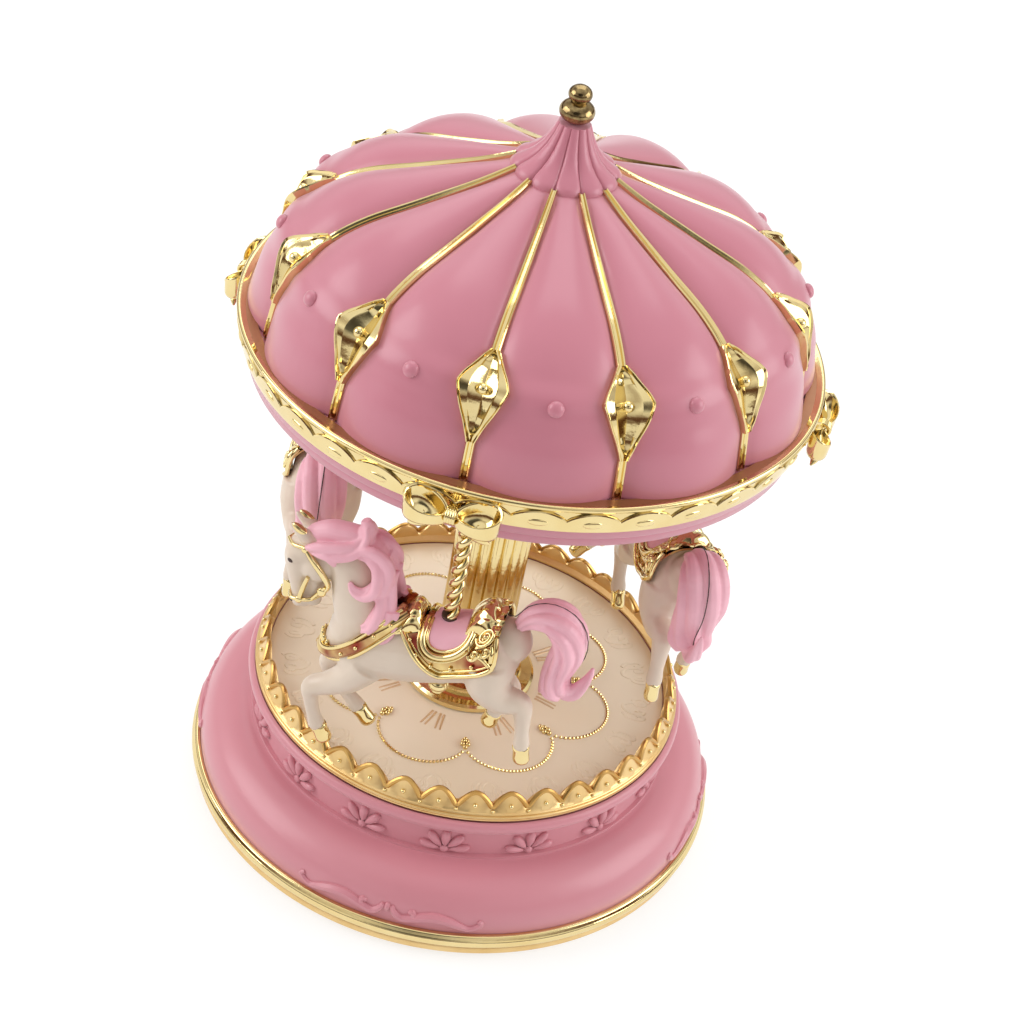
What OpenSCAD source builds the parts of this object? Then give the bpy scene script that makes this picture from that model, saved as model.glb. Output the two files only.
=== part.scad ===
// Wind up music box made as a carousel. A round base holds a hand wound movement. The movement
// turns a fluted column with a ribbed canopy, and four horses hang from the canopy on twisted
// poles. Millimetres, +Z up, the feet stand on z = 0, the carousel turns about the Z axis.

/* [Base] */
// Outer radius of the gold foot ring
foot_r = 52.5; // [48:0.5:58]
// Height of the top of the foot ring above the table
foot_top = 6; // [5:0.5:8]
// Height of the rubber feet
feet_h = 1.2; // [0.8:0.1:2]
// Radius of each rubber foot
feet_r = 4; // [3:0.5:4]
// Distance of the feet's centres inside the edge of the foot
feet_inset = 10.5; // [10:0.5:13]
// Radius of the recessed drum below the platform
drum_r = 40.8; // [38:0.2:44]
// Height of the step line where the flared foot meets the drum
step_z = 16; // [14:0.5:18]
// Radius of the rounded lip at the top of the base
lip_r = 43; // [41:0.2:45]
// Wall thickness of the base shell
base_wall = 2; // [1.6:0.1:3]

/* [Platform] */
// Height of the top of the platform
platform_top = 26.2; // [24:0.2:28]
// Thickness of the platform
platform_t = 2.15; // [1.8:0.05:3]
// Radius of the platform disc
platform_r = 39.3; // [38:0.1:40]
// Number of scallops round the gallery
scallops = 38; // [24:1:48]
// Height of the gallery's scallop tips
gallery_top = 31.5; // [29:0.5:34]

/* [Column] */
// Radius over the flutes of the column
column_r = 7.25; // [6:0.25:9]
// Number of convex flutes on the column
flutes = 20; // [12:1:24]
// Radius of the hub flange that turns on the platform
hub_r = 13; // [11:0.5:15]
// Radius of the drive spindle
spindle_r = 2.5; // [2:0.1:3]

/* [Canopy] */
// Number of gores and of gold ribs
gores = 12; // [8:1:16]
// Height of the canopy's pink lower edge
canopy_z = 97.7; // [94:0.5:102]
// Radius of the rim of the gold band
band_r = 52.4; // [50:0.2:56]
// Width of a gold rib
rib_w = 1.1; // [0.8:0.1:1.6]
// Height of a gold rib above the valley it lies in
rib_h = 0.85; // [0.6:0.05:1.2]
// Thickness of the canopy shell
dome_wall = 1.6; // [1.2:0.1:2.4]
// Width of a diamond on a rib
diamond_w = 8.6; // [6:0.2:10]

/* [Horses] */
// Distance of the poles from the axis
pole_pcd_r = 34; // [32:0.5:35]
// Radius of the plain end of a pole
pole_r = 1.15; // [1:0.05:1.5]
// Radial clearance of a horse on its pole
pole_fit = 0.07; // [0.02:0.01:0.1]
// Height of one full turn of the pole's rope twist
twist_pitch = 5.6; // [4:0.2:8]
// How much higher the side horses hang than the front and rear ones
horse_lift = 6; // [0:0.5:8]

/* [Movement] */
// Radius of the spring barrel
barrel_r = 9.3; // [8:0.1:10]
// Teeth on the barrel's crown wheel
crown_teeth = 36; // [36:4:40]
// Teeth on the pinion of the pinned cylinder
pinion_teeth = 16; // [14:1:18]
// Height of the pinned cylinder's axis
cylinder_z = 17.85; // [17:0.05:18.5]
// Radius of the pinned cylinder
cylinder_r = 5.3; // [4.8:0.1:5.6]
// Number of notes on the comb
notes = 18; // [12:1:22]
// Radial clearance of the shafts in their bearings
shaft_fit = 0.06; // [0.02:0.01:0.1]
// Length of the winding key from tip to tip
key_w = 24; // [18:1:26]

/* [Hidden] */
$fn = 64;

pink = "#dd8fa8";
gold = "#d8b04a";
amber = "#b5833a";
cream = "#e6d2b8";
mane_pink = "#e99bb8";
steel = "#b4b6ba";
brass_c = "#c9a24b";
rubber_c = "#3a3a3c";

gap = 0.05;
cover_top = 5.2;
feet_pcd_r = foot_r - feet_inset;
cover_r = foot_r - 4;
ring_in_r = foot_r - 6;
well_r = 14.6;
well_top = 8;
plate_z = 8.3;
plate_t = 1.6;
plate_top = plate_z + plate_t;
platform_z = platform_top - platform_t;
arbor_r = 2;
crown_r = 12.2;
crown_floor = 12.3;
crown_h = 1;
barrel_z = 11.5;
barrel_top = 19.4;
pinion_x = -12.1;
pinion_w = 1.8;
wheel_m = 0.38;
cyl_gear_teeth = 28;
gov_pinion_teeth = 8;
gov_wheel_teeth = 24;
gov_y = -(cyl_gear_teeth + gov_pinion_teeth) * wheel_m / 2;
gov_wheel_x = -32.3;
fan_x = gov_wheel_x + 0.5;
fan_y = gov_y - gov_wheel_teeth * wheel_m / 2 - 1.85;
cyl_x0 = -28.4;
cyl_x1 = -13.6;
cover_screw_r = foot_r - 11;
plate_screws = [[11, 13.5], [11, -13.5], [-33, 12.5]];
ceiling_z = 103.7;
ceiling_top = 105.6;
dome_z = 106.25;
column_z = 30.4;
rib_angle = -90;

// Valley line of the canopy from the cap to the foot: radius, height, half width of the flat
// strip the gold rib lies on, and how far the gore swells above that line at its middle.
valley_rows = [
    [8.6, 139.2, 0.75, 0], [14, 136.5, 0.85, 1.2], [20, 134, 0.9, 1.9], [26, 131.6, 0.9, 2.4],
    [32, 129.3, 0.9, 2.6], [36.2, 127.1, 0.9, 2.6], [39, 125.1, 0.9, 2.4], [41.5, 123, 2.7, 2],
    [44, 120.9, 4.7, 1.7], [45.3, 117.4, 2.7, 1.8], [46.6, 113.9, 0.95, 2],
    [47.2, 110.4, 0.9, 1.9], [47.6, 107.6, 0.9, 1.1], [47.8, dome_z, 0.9, 0.2]
];
dome_foot_r = band_r - 4.6;
valley = [for (v = valley_rows) [v[0] * dome_foot_r / 47.8, v[1], v[2], v[3]]];
rows = len(valley);
top_row = 6;
mid_row = 8;
low_row = 10;
gore_steps = 5;
cols = gores * (gore_steps + 1);

function dir(i) = i == rows - 1 ? [0, -1] :
    let (a = valley[max(i - 1, 0)], b = valley[i + 1], d = [b[0] - a[0], b[1] - a[1]]) d / norm(d);
function out(i) = [-dir(i)[1], dir(i)[0]];
function off(i, h) = [valley[i][0] + h * out(i)[0], valley[i][1] + h * out(i)[1]];
function swell(s) = s <= 0 || s >= 1 ? 0 : pow(sin(180 * s), 0.7);
function col_angle(i, c) =
    let (g = floor(c / (gore_steps + 1)), s = (c % (gore_steps + 1)) / gore_steps,
         edge = asin(valley[i][2] / valley[i][0]))
    rib_angle + g * 360 / gores + edge + s * (360 / gores - 2 * edge);
function dome_point(i, c, h) =
    let (s = (c % (gore_steps + 1)) / gore_steps,
         p = off(i, h < 0 ? h : valley[i][3] * swell(s)), a = col_angle(i, c))
    [p[0] * cos(a), p[0] * sin(a), p[1]];
function arc(cx, cz, rx, rz, a0, a1, n) =
    [for (k = [0 : n]) let (a = a0 + (a1 - a0) * k / n) [cx + rx * cos(a), cz + rz * sin(a)]];

// Horse built along +X, its pole on the Z axis: centre and radius of each ball.
torso = [[15, 0, 55.5, 6.2], [5, 0, 57.6, 6.3], [-5, 0, 60.8, 5.9], [-9.5, 0, 63.6, 5.8]];
neck = [[13.5, 0, 60, 5.2], [17.5, 0, 67, 4.1], [20.5, 0, 73, 3.5]];
head = [[21.8, 0, 74.2, 3.3], [24.9, 0, 71, 3.2], [26.5, 0, 66.2, 2.4], [27, 0, 61.4, 1.9]];
near_fore = [[13.5, 3.2, 53.5, 4], [21.8, 3.5, 45.8, 2.3], [20.4, 3.3, 39.8, 1.5],
    [19.3, 3.1, 36.6, 1.6], [18.4, 3, 34.1, 2]];
far_fore = [[13.5, -3.2, 53.5, 4], [21, -3.5, 47.5, 2.2], [15.6, -3.3, 40, 1.5],
    [13.3, -3.1, 36.6, 1.6], [12, -3, 34.5, 2]];
near_hind = [[-9, 3.1, 61, 4.6], [-12.4, 3.5, 54.8, 3.1], [-16.6, 3.5, 54.2, 1.8],
    [-17.2, 3.5, 47.4, 1.4], [-17.5, 3.5, 45, 1.6], [-17.9, 3.5, 43, 2]];
far_hind = [[-8, -3.1, 61, 4.6], [-9.4, -3.5, 53, 2.8], [-13, -3.5, 50.6, 1.7],
    [-11.2, -3.5, 46.8, 1.4], [-10.6, -3.5, 44.1, 2]];
ear = [[26.4, 1.9, 74.4, 1.2], [30.6, 2.4, 77.3, 0.5]];
tail_line = [[-13.4, 0, 68.6, 2], [-16.6, 0, 72.6, 2.6], [-20.4, 0, 71.2, 3],
    [-21.8, 0, 66, 3], [-20.9, 0, 60.6, 2.9], [-22.4, 0, 57.5, 2], [-25.4, 0, 61, 1.2]];
mane_line = [[26.2, 0, 75.2, 1.9], [22, 0, 77, 2.7], [17.4, 0, 78.4, 3.1],
    [13.6, 0, 74.2, 3.3], [11.4, 0.8, 68.6, 3.2], [10.2, 1.6, 63.4, 2.8]];
mane_curl = [[13.6, 1.5, 73, 2.6], [15.2, 4, 69.6, 1.8], [18.2, 4.2, 66.6, 1.3]];
mane_end = [[10.8, 2.4, 64.4, 2.4], [12.4, 4.9, 60.2, 1.7]];
strap = [[8.6, 6.2, 63, 1.2], [13, 6.2, 58.8, 1.2], [17.8, 4.8, 55, 1.2], [20.9, 0, 53.2, 1.3]];
belly_z = 52.5;
seat_z = 66.3;
stub_z = 49.2;

module chain(balls, fn, grow = 0) {
    for (i = [0 : len(balls) - 2])
        hull() {
            for (b = [balls[i], balls[i + 1]])
                translate([b[0], b[1], b[2]]) sphere(r = b[3] + grow, $fn = fn);
        }
}

module ring(points) {
    rotate_extrude($fn = 180) polygon(points);
}

module at_angles(count, start = 0) {
    for (k = [0 : count - 1])
        rotate([0, 0, start + k * 360 / count]) children();
}

module at_horse(azimuth, heading, lift) {
    rotate([0, 0, azimuth]) translate([pole_pcd_r, 0, lift]) rotate([0, 0, heading]) children();
}

/* Base */

module base_shell() {
    color(pink) difference() {
        union() {
            shell_wall();
            at_angles(3, 30)
                translate([cover_screw_r, 0, cover_top + gap]) cylinder(h = 9, r = 2.8, $fn = 40);
        }
        at_angles(3, 30)
            translate([cover_screw_r, 0, cover_top - 1]) cylinder(h = 7, r = 1.2, $fn = 24);
    }
}

module shell_wall() {
    ring(concat(
        [[foot_r - 3.7, 3.65], [foot_r - 1.65, 3.65]],
        arc(lip_r - 1.2, 8, foot_r - 1.65 - lip_r + 1.2, step_z - 0.1 - 8, 0, 90, 12),
        [[drum_r + 0.8, step_z], [drum_r + 0.8, step_z + 0.5], [drum_r, step_z + 0.6]],
        [[drum_r, 22.8], [lip_r - 0.5, 23.5]],
        arc(lip_r - 1.1, 24.7, 1.1, 1.2, -35, 90, 6),
        [[lip_r - 1.1, platform_z], [37, platform_z], [37, 22.4], [drum_r - base_wall, 22.4]],
        [[drum_r - base_wall, step_z - 1.6], [foot_r - 7, 12.4], [foot_r - 4.3, 9.6], [foot_r - 3.7, 7]]
    ));
}

module foot_ring() {
    color(gold) ring([
        [ring_in_r, feet_h + gap], [foot_r - 1.1, feet_h + gap], [foot_r - 0.6, feet_h + 0.5],
        [foot_r - 0.6, 2.9], [foot_r, 3.4], [foot_r, foot_top - 1], [foot_r - 0.7, foot_top],
        [foot_r - 1.6, foot_top], [foot_r - 1.6, 3.6], [ring_in_r, 3.6]
    ]);
}

module bottom_cover() {
    color("#e4c9cf") difference() {
        union() {
            ring([[well_r, 3.7], [cover_r, 3.7], [cover_r, cover_top], [well_r + 1.4, cover_top],
                [well_r + 1.4, well_top], [arbor_r + 0.6, well_top], [arbor_r + 0.6, 6.8],
                [well_r, 6.8]]);
            for (p = plate_screws)
                translate([p[0], p[1], cover_top - 0.5])
                    cylinder(h = plate_z - cover_top + 0.5, r = 2.6, $fn = 32);
        }
        for (p = plate_screws)
            translate([p[0], p[1], 3]) cylinder(h = 8, r = 0.95, $fn = 24);
        at_angles(3, 30)
            translate([cover_screw_r, 0, 3]) cylinder(h = 4, r = 1.3, $fn = 24);
    }
}

module rubber_feet() {
    color(rubber_c) at_angles(4, 45)
        translate([feet_pcd_r, 0, 0]) {
            cylinder(h = feet_h, r = feet_r, $fn = 40);
            translate([0, 0, feet_h - 0.1]) cylinder(h = 2.6, r = 2.2, $fn = 32);
        }
}

module cover_screws() {
    color(steel) at_angles(3, 30)
        translate([cover_screw_r, 0, 2.7]) {
            cylinder(h = 1, r = 2.2, $fn = 32);
            cylinder(h = 7, r = 1.18, $fn = 24);
        }
}

module platform_disc() {
    color(cream) difference() {
        translate([0, 0, platform_z + gap])
            cylinder(h = platform_t - gap, r = platform_r, $fn = 180);
        translate([0, 0, platform_z - 1])
            cylinder(h = platform_t + 2, r = spindle_r + shaft_fit, $fn = 48);
    }
}

module gallery_ring() {
    half = 180 / scallops;
    reach = 39.9 * sin(half);
    bow_r = reach * 1.04;
    notch = [for (k = [-4 : 4])
        let (x = k / 4 * reach * 0.86, d = reach - abs(x))
        [x, gallery_top - bow_r + sqrt(bow_r * bow_r - d * d)]];
    color(gold) difference() {
        ring([[39.4, platform_z + gap], [lip_r - 1.15, platform_z + gap], [lip_r - 1.15, 26.5],
            [41.5, 26.8], [41.7, 27.1], [41.4, 27.5], [41.3, 27.8], [39.9, gallery_top],
            [38.9, gallery_top], [40.1, 27.6], [39.4, 26.6]]);
        at_angles(scallops, half)
            rotate([90, 0, 90]) translate([0, 0, 36])
                linear_extrude(height = 8)
                    polygon(concat([[-reach * 0.86, gallery_top + 1]], notch,
                        [[reach * 0.86, gallery_top + 1]]));
    }
}

/* Movement */

module bedplate() {
    color(brass_c) difference() {
        translate([-36, -17, plate_z]) cube([51, 34, plate_t]);
        translate([0, 0, 7]) cylinder(h = 5, r = arbor_r + shaft_fit, $fn = 40);
        for (p = plate_screws)
            translate([p[0], p[1], 7]) cylinder(h = 5, r = 1.3, $fn = 24);
        translate([-22, 12.6, 7]) cylinder(h = 5, r = 0.9, $fn = 24);
        translate([-16, 12.6, 7]) cylinder(h = 5, r = 0.9, $fn = 24);
    }
}

module bedplate_screws() {
    color(steel) for (p = plate_screws)
        translate([p[0], p[1], 5.5]) {
            cylinder(h = plate_top - 5.5 + 0.5, r = 0.9, $fn = 24);
            translate([0, 0, plate_top - 5.5 + gap]) cylinder(h = 1.2, r = 2, $fn = 32);
        }
}

module spring_barrel() {
    color(brass_c) difference() {
        union() {
            translate([0, 0, barrel_z]) cylinder(h = barrel_top - barrel_z, r = barrel_r);
            translate([0, 0, barrel_z]) cylinder(h = crown_floor - barrel_z, r = crown_r);
            at_angles(crown_teeth, 180 / crown_teeth)
                translate([10.2, -0.3, crown_floor - 0.2])
                    cube([crown_r - 10.3, 0.6, crown_h + 0.2]);
        }
        translate([0, 0, barrel_z + 1]) cylinder(h = barrel_top - barrel_z - 2, r = barrel_r - 0.5);
        translate([0, 0, barrel_z - 1]) cylinder(h = 3, r = arbor_r + shaft_fit, $fn = 40);
    }
}

module mainspring() {
    turns = 5;
    steps = turns * 18;
    inner = 2.6;
    grow = (barrel_r - 0.8 - inner) / steps;
    line = [for (k = [0 : steps]) [(inner + k * grow) * cos(k * 20), (inner + k * grow) * sin(k * 20)]];
    back = [for (k = [steps : -1 : 0])
        [(inner - 0.35 + k * grow) * cos(k * 20), (inner - 0.35 + k * grow) * sin(k * 20)]];
    color(steel) translate([0, 0, barrel_z + 1.5])
        linear_extrude(height = barrel_top - barrel_z - 3) polygon(concat(line, back));
}

module winding_arbor() {
    color(steel) {
        translate([0, 0, 6.2]) cylinder(h = barrel_top - 1.2 - 6.2, r = arbor_r, $fn = 40);
    }
}

module ratchet_wheel() {
    teeth = 16;
    rim = [for (k = [0 : 2 * teeth - 1])
        let (r = k % 2 == 0 ? 5.6 : 4.7, a = floor(k / 2) * 360 / teeth + (k % 2) * 4)
        [r * cos(a), r * sin(a)]];
    color(steel) translate([0, 0, plate_top + 0.2]) difference() {
        linear_extrude(height = 1) polygon(rim);
        translate([0, 0, -1]) cylinder(h = 3, r = arbor_r + 0.01, $fn = 40);
    }
}

module click_pawl() {
    color(steel) translate([0, 0, plate_top + gap]) {
        linear_extrude(height = 1.1)
            polygon([[5.75, 0.2], [6.1, -0.7], [10, 2.6], [11.4, 5.2], [9.6, 6.2], [8.6, 3.6]]);
        translate([10.3, 4.9, 0]) cylinder(h = 1.3, r = 1.3, $fn = 32);
    }
}

module toothed(teeth, tip, root, width, tip_w, root_w, bore) {
    difference() {
        union() {
            cylinder(h = width, r = root + 0.02, $fn = 60);
            at_angles(teeth) linear_extrude(height = width)
                polygon([[root - 0.4, -root_w / 2], [tip, -tip_w / 2], [tip, tip_w / 2],
                    [root - 0.4, root_w / 2]]);
        }
        translate([0, 0, -1]) cylinder(h = width + 2, r = bore, $fn = 32);
    }
}

module note_cylinder() {
    pin_reach = 0.6;
    pitch = (cyl_x1 - cyl_x0 - 1.2) / (notes - 1);
    color(brass_c) translate([0, 0, cylinder_z]) rotate([0, 90, 0]) {
        translate([0, 0, cyl_x0]) cylinder(h = cyl_x1 - cyl_x0, r = cylinder_r);
        translate([0, 0, -31.5]) cylinder(h = 21.4, r = 0.9, $fn = 32);
        for (n = [0 : notes - 1], k = [0 : 2])
            rotate([0, 0, n * 67 + k * 131 + 12])
                translate([cylinder_r - 0.3, 0, cyl_x0 + 0.6 + n * pitch])
                    rotate([0, 90, 0]) cylinder(h = 0.3 + pin_reach, r = 0.2, $fn = 14);
    }
}

module cylinder_pinion() {
    color(brass_c) translate([pinion_x, 0, cylinder_z]) rotate([0, 90, 0])
        toothed(pinion_teeth, 5.38, 4.3, pinion_w, 0.4, 0.75, 0.91);
}

module cylinder_gear() {
    r = cyl_gear_teeth * wheel_m / 2;
    color(brass_c) translate([-29.9, 0, cylinder_z]) rotate([0, 90, 0])
        toothed(cyl_gear_teeth, r + 0.3, r - 0.5, 1.1, 0.3, 0.5, 0.91);
}

module bracket_eye(x, y, w, r) {
    difference() {
        translate([x, y - 2.4, plate_top]) cube([w, 4.8, cylinder_z + 2.2 - plate_top]);
        translate([x - 1, y, cylinder_z]) rotate([0, 90, 0])
            cylinder(h = w + 2, r = r + shaft_fit, $fn = 32);
    }
}

module cylinder_bracket() {
    color(brass_c) {
        bracket_eye(-13.3, 0, 0.9, 0.9);
        bracket_eye(-31.2, 0, 1, 0.9);
    }
}

module note_comb() {
    pitch = (cyl_x1 - cyl_x0 - 1.2) / (notes - 1);
    tip_y = 6.15;
    teeth = [for (n = [0 : notes - 1], k = [0 : 3])
        let (x = cyl_x0 + 0.6 + n * pitch + (k < 2 ? -0.28 : 0.28))
        [x, k == 0 || k == 3 ? 10.6 : tip_y]];
    color(steel) difference() {
        translate([0, 0, cylinder_z - 0.4]) linear_extrude(height = 0.8)
            polygon(concat([[cyl_x0 - 0.6, 10.6]], teeth,
                [[cyl_x1 + 0.6, 10.6], [cyl_x1 + 0.6, 14.6], [cyl_x0 - 0.6, 14.6]]));
        for (x = [-22, -16])
            translate([x, 12.6, 0]) cylinder(h = 30, r = 0.95, $fn = 24);
    }
}

module comb_block() {
    color(brass_c) difference() {
        translate([cyl_x0 - 0.6, 11, plate_top])
            cube([cyl_x1 - cyl_x0 + 1.2, 3.4, cylinder_z - 0.4 - plate_top]);
        for (x = [-22, -16])
            translate([x, 12.6, 0]) cylinder(h = 30, r = 0.9, $fn = 24);
    }
}

module comb_screws() {
    color(steel) for (x = [-22, -16])
        translate([x, 12.6, plate_z]) {
            cylinder(h = cylinder_z + 0.45 - plate_z + 0.2, r = 0.85, $fn = 24);
            translate([0, 0, cylinder_z + 0.45 - plate_z]) cylinder(h = 1, r = 1.6, $fn = 32);
        }
}

module governor_bracket() {
    color(brass_c) {
        bracket_eye(-31.2, gov_y, 1, 0.7);
        difference() {
            union() {
                translate([fan_x - 2, -16.8, plate_top]) cube([4, 1.2, 12.2]);
                translate([fan_x - 2, -16.8, plate_top]) cube([4, 5.6, 0.9]);
                translate([fan_x - 2, -16.8, plate_top + 11.3]) cube([4, 5.6, 0.9]);
            }
            translate([fan_x, fan_y, plate_top - 1])
                cylinder(h = 15, r = 0.5 + shaft_fit, $fn = 32);
        }
    }
}

module governor_wheel() {
    r1 = gov_pinion_teeth * wheel_m / 2;
    r2 = gov_wheel_teeth * wheel_m / 2;
    color(brass_c) translate([0, gov_y, cylinder_z]) rotate([0, 90, 0]) {
        translate([0, 0, -32.9]) cylinder(h = 4.3, r = 0.7, $fn = 32);
        translate([0, 0, -29.9]) rotate([0, 0, 22.5])
            toothed(gov_pinion_teeth, r1 + 0.25, r1 - 0.55, 1.1, 0.3, 0.5, 0.5);
        translate([0, 0, gov_wheel_x]) toothed(gov_wheel_teeth, r2 + 0.3, r2 - 0.5, 1, 0.3, 0.5, 0.5);
    }
}

module governor_fan() {
    color(brass_c) translate([fan_x, fan_y, plate_top + 0.2]) {
        cylinder(h = 11.8, r = 0.5, $fn = 32);
        for (z = [6.2 : 0.9 : 9.6])
            translate([0, 0, z]) cylinder(h = 0.45, r = 1.3, $fn = 32);
        translate([-1.9, -0.15, 1.6]) cube([3.8, 0.3, 3.6]);
    }
}

module winding_key() {
    color(gold) {
        difference() {
            translate([0, 0, 4.2]) cylinder(h = 2.5, r = 2.4, $fn = 40);
            translate([0, 0, 6.1]) cylinder(h = 3, r = arbor_r + 0.01, $fn = 40);
        }
        difference() {
            union() {
                translate([-key_w / 2 + 3, -1, 1.5]) cube([key_w - 6, 2, 3.4]);
                for (s = [-1, 1])
                    translate([s * (key_w / 2 - 3), 1, 3.9]) rotate([90, 0, 0])
                        cylinder(h = 2, r = 2.5, $fn = 40);
            }
            for (s = [-1, 1])
                translate([s * (key_w / 2 - 3), 3, 3.9]) rotate([90, 0, 0])
                    cylinder(h = 6, r = 1.2, $fn = 32);
        }
    }
}

/* Carousel */

module drive_spindle() {
    color(steel) translate([0, 0, barrel_top + gap]) {
        cylinder(h = dome_z - barrel_top, r = spindle_r - 0.01, $fn = 48);
        cylinder(h = 1.4, r = 4.6, $fn = 48);
    }
}

module hub_flange() {
    color(gold) ring([[spindle_r, platform_top + 0.3], [hub_r, platform_top + 0.3],
        [hub_r, 27.4], [hub_r - 0.5, 27.8], [10.4, 28], [10.2, 29.2], [9.9, 29.5],
        [8.6, 29.7], [8.4, column_z - 0.05], [spindle_r, column_z - 0.05]]);
}

module fluted_column() {
    h = ceiling_z - gap - column_z;
    depth = 0.8;
    outline = [for (k = [0 : flutes - 1], s = [-1, -0.85, -0.5, 0, 0.5, 0.85])
        let (a = (k + s / 2) * 360 / flutes, r = column_r - depth * (1 - sqrt(1 - s * s)))
        [r * cos(a), r * sin(a)]];
    color(gold) translate([0, 0, column_z]) difference() {
        linear_extrude(height = h) polygon(outline);
        translate([0, 0, -1]) cylinder(h = h + 2, r = spindle_r, $fn = 48);
    }
}

module canopy_base() {
    color(pink) difference() {
        union() {
            ring([[spindle_r, ceiling_z], [band_r - 6.8, ceiling_z], [band_r - 5.2, 102.2],
                [band_r - 4.9, canopy_z + 0.4], [band_r - 4.5, canopy_z], [band_r - 2.9, canopy_z],
                [band_r - 2.5, canopy_z + 0.4], [band_r - 1.7, 101.7], [band_r - 2.45, 101.8],
                [band_r - 2.45, dome_z - gap], [band_r - 6.6, dome_z - gap],
                [band_r - 7.1, ceiling_top], [spindle_r, ceiling_top]]);
            at_angles(4) translate([pole_pcd_r, 0, 100.4])
                cylinder(h = ceiling_z - 100.4 + 0.5, r = 2.6, $fn = 40);
        }
        at_angles(4) translate([pole_pcd_r, 0, 99])
            cylinder(h = 5.9, r = pole_r + 0.02, $fn = 40);
    }
}

module canopy_dome() {
    outer = [for (i = [0 : rows - 1], c = [0 : cols - 1]) dome_point(i, c, 0)];
    inner = [for (i = [0 : rows - 1], c = [0 : cols - 1]) dome_point(i, c, -dome_wall)];
    n = rows * cols;
    skin = [for (i = [0 : rows - 2], c = [0 : cols - 1])
        let (d = (c + 1) % cols, a = i * cols + c, b = i * cols + d, e = a + cols, f = b + cols)
        each [[a, e, b], [b, e, f]]];
    lining = [for (t = skin) [t[0] + n, t[2] + n, t[1] + n]];
    rims = [for (c = [0 : cols - 1])
        let (d = (c + 1) % cols, k = (rows - 1) * cols)
        each [[c, d, c + n], [d, d + n, c + n], [k + c, k + c + n, k + d],
            [k + d, k + c + n, k + d + n]]];
    color(pink) polyhedron(points = concat(outer, inner), faces = concat(skin, lining, rims));
}

module diamond() {
    half = diamond_w / 2;
    front = [for (q = [[top_row, 0, 0.95], [mid_row, half, 0.75], [low_row, 0, 0.95],
        [mid_row, -half, 0.75], [mid_row, 0, 1.2]])
        let (p = off(q[0], q[2])) [sqrt(p[0] * p[0] - q[1] * q[1]), q[1], p[1]]];
    back = [for (q = [[top_row, 0], [mid_row, half], [low_row, 0], [mid_row, -half], [mid_row, 0]])
        let (p = off(q[0], 0.12)) [sqrt(p[0] * p[0] - q[1] * q[1]), q[1], p[1]]];
    fans = [for (k = [0 : 3]) let (m = (k + 1) % 4)
        each [[4, k, m], [9, m + 5, k + 5], [k, m + 5, m], [k, k + 5, m + 5]]];
    polyhedron(points = concat(front, back), faces = fans);
    boss = off(mid_row, 1);
    translate([boss[0], 0, boss[1]]) sphere(r = 1, $fn = 24);
}

module rib_frame() {
    strip = concat([for (i = [0 : rows - 1]) off(i, 0.1)],
        [for (i = [rows - 1 : -1 : 0]) off(i, rib_h)]);
    color(gold) {
        intersection() {
            ring(strip);
            for (k = [0 : gores - 1])
                rotate([0, 0, rib_angle + k * 360 / gores])
                    translate([0, -rib_w / 2, 90]) cube([60, rib_w, 60]);
        }
        at_angles(gores, rib_angle) diamond();
    }
}

module canopy_band() {
    color(gold) ring([[band_r - 2.4, 101.9], [band_r - 1.1, 101.9], [band_r - 0.9, 103],
        [band_r - 0.45, 106], [band_r, 107], [band_r - 0.1, 107.7], [band_r - 0.8, 107.8],
        [band_r - 1.5, 107.05], [band_r - 3.5, 106.95], [band_r - 3.5, 106.35],
        [band_r - 2.4, 106.3]]);
}

module canopy_cap() {
    shape = [[8.8, 140.1, 0.55], [7.4, 140.9, 0.5], [5.9, 142.3, 0.42], [4.6, 144, 0.34],
        [3.6, 145.9, 0.26], [2.8, 147.9, 0.16]];
    steps = 48;
    n = len(shape);
    points = [for (q = shape, c = [0 : steps - 1])
        let (a = rib_angle + c * 360 / steps, r = q[0] - q[2] * (1 - cos(c * 360 * gores / steps)) / 2)
        [r * cos(a), r * sin(a), q[1]]];
    sides = [for (i = [0 : n - 2], c = [0 : steps - 1])
        let (d = (c + 1) % steps, a = i * steps + c, b = i * steps + d)
        each [[a, a + steps, b], [b, a + steps, b + steps]]];
    floor_face = [for (c = [0 : steps - 1]) c];
    roof_face = [for (c = [steps - 1 : -1 : 0]) (n - 1) * steps + c];
    color(pink) difference() {
        union() {
            polyhedron(points = points, faces = concat(sides, [floor_face], [roof_face]));
            translate([0, 0, 138]) cylinder(h = 3, r = 6.6, $fn = 60);
        }
        translate([0, 0, 143]) cylinder(h = 6, r = 1.05, $fn = 32);
    }
}

module finial() {
    color(amber) ring(concat([[0, 144], [1.04, 144], [1.04, 147.9]],
        arc(0, 150, 3.05, 2.1, -62, 66, 10), arc(0, 153.1, 2.05, 1.6, -56, 90, 8)));
}

module bow(azimuth) {
    knot_x = band_r - 0.25;
    color(gold) rotate([0, 0, azimuth]) {
        translate([band_r - 0.84, 0, 103]) rotate([0, 90, 0]) cylinder(h = 2, r = 0.9, $fn = 32);
        translate([knot_x + 1.5, 0, 103]) sphere(r = 1.45, $fn = 40);
        for (s = [-1, 1]) {
            translate([knot_x, s * 4.2, 103.2]) rotate([0, 90, 0])
                difference() {
                    cylinder(h = 2.8, r = 3.6, $fn = 40);
                    translate([0, 0, -1]) cylinder(h = 5, r = 2.7, $fn = 40);
                }
            translate([knot_x + 1.4, s * 1, 102.6]) rotate([s * 125, 0, 0])
                cylinder(h = 5, r1 = 0.7, r2 = 1.3, $fn = 32);
        }
    }
}

module bow_front() {
    bow(-90);
}

module bow_right() {
    bow(0);
}

module bow_rear() {
    bow(90);
}

module bow_left() {
    bow(180);
}

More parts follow.
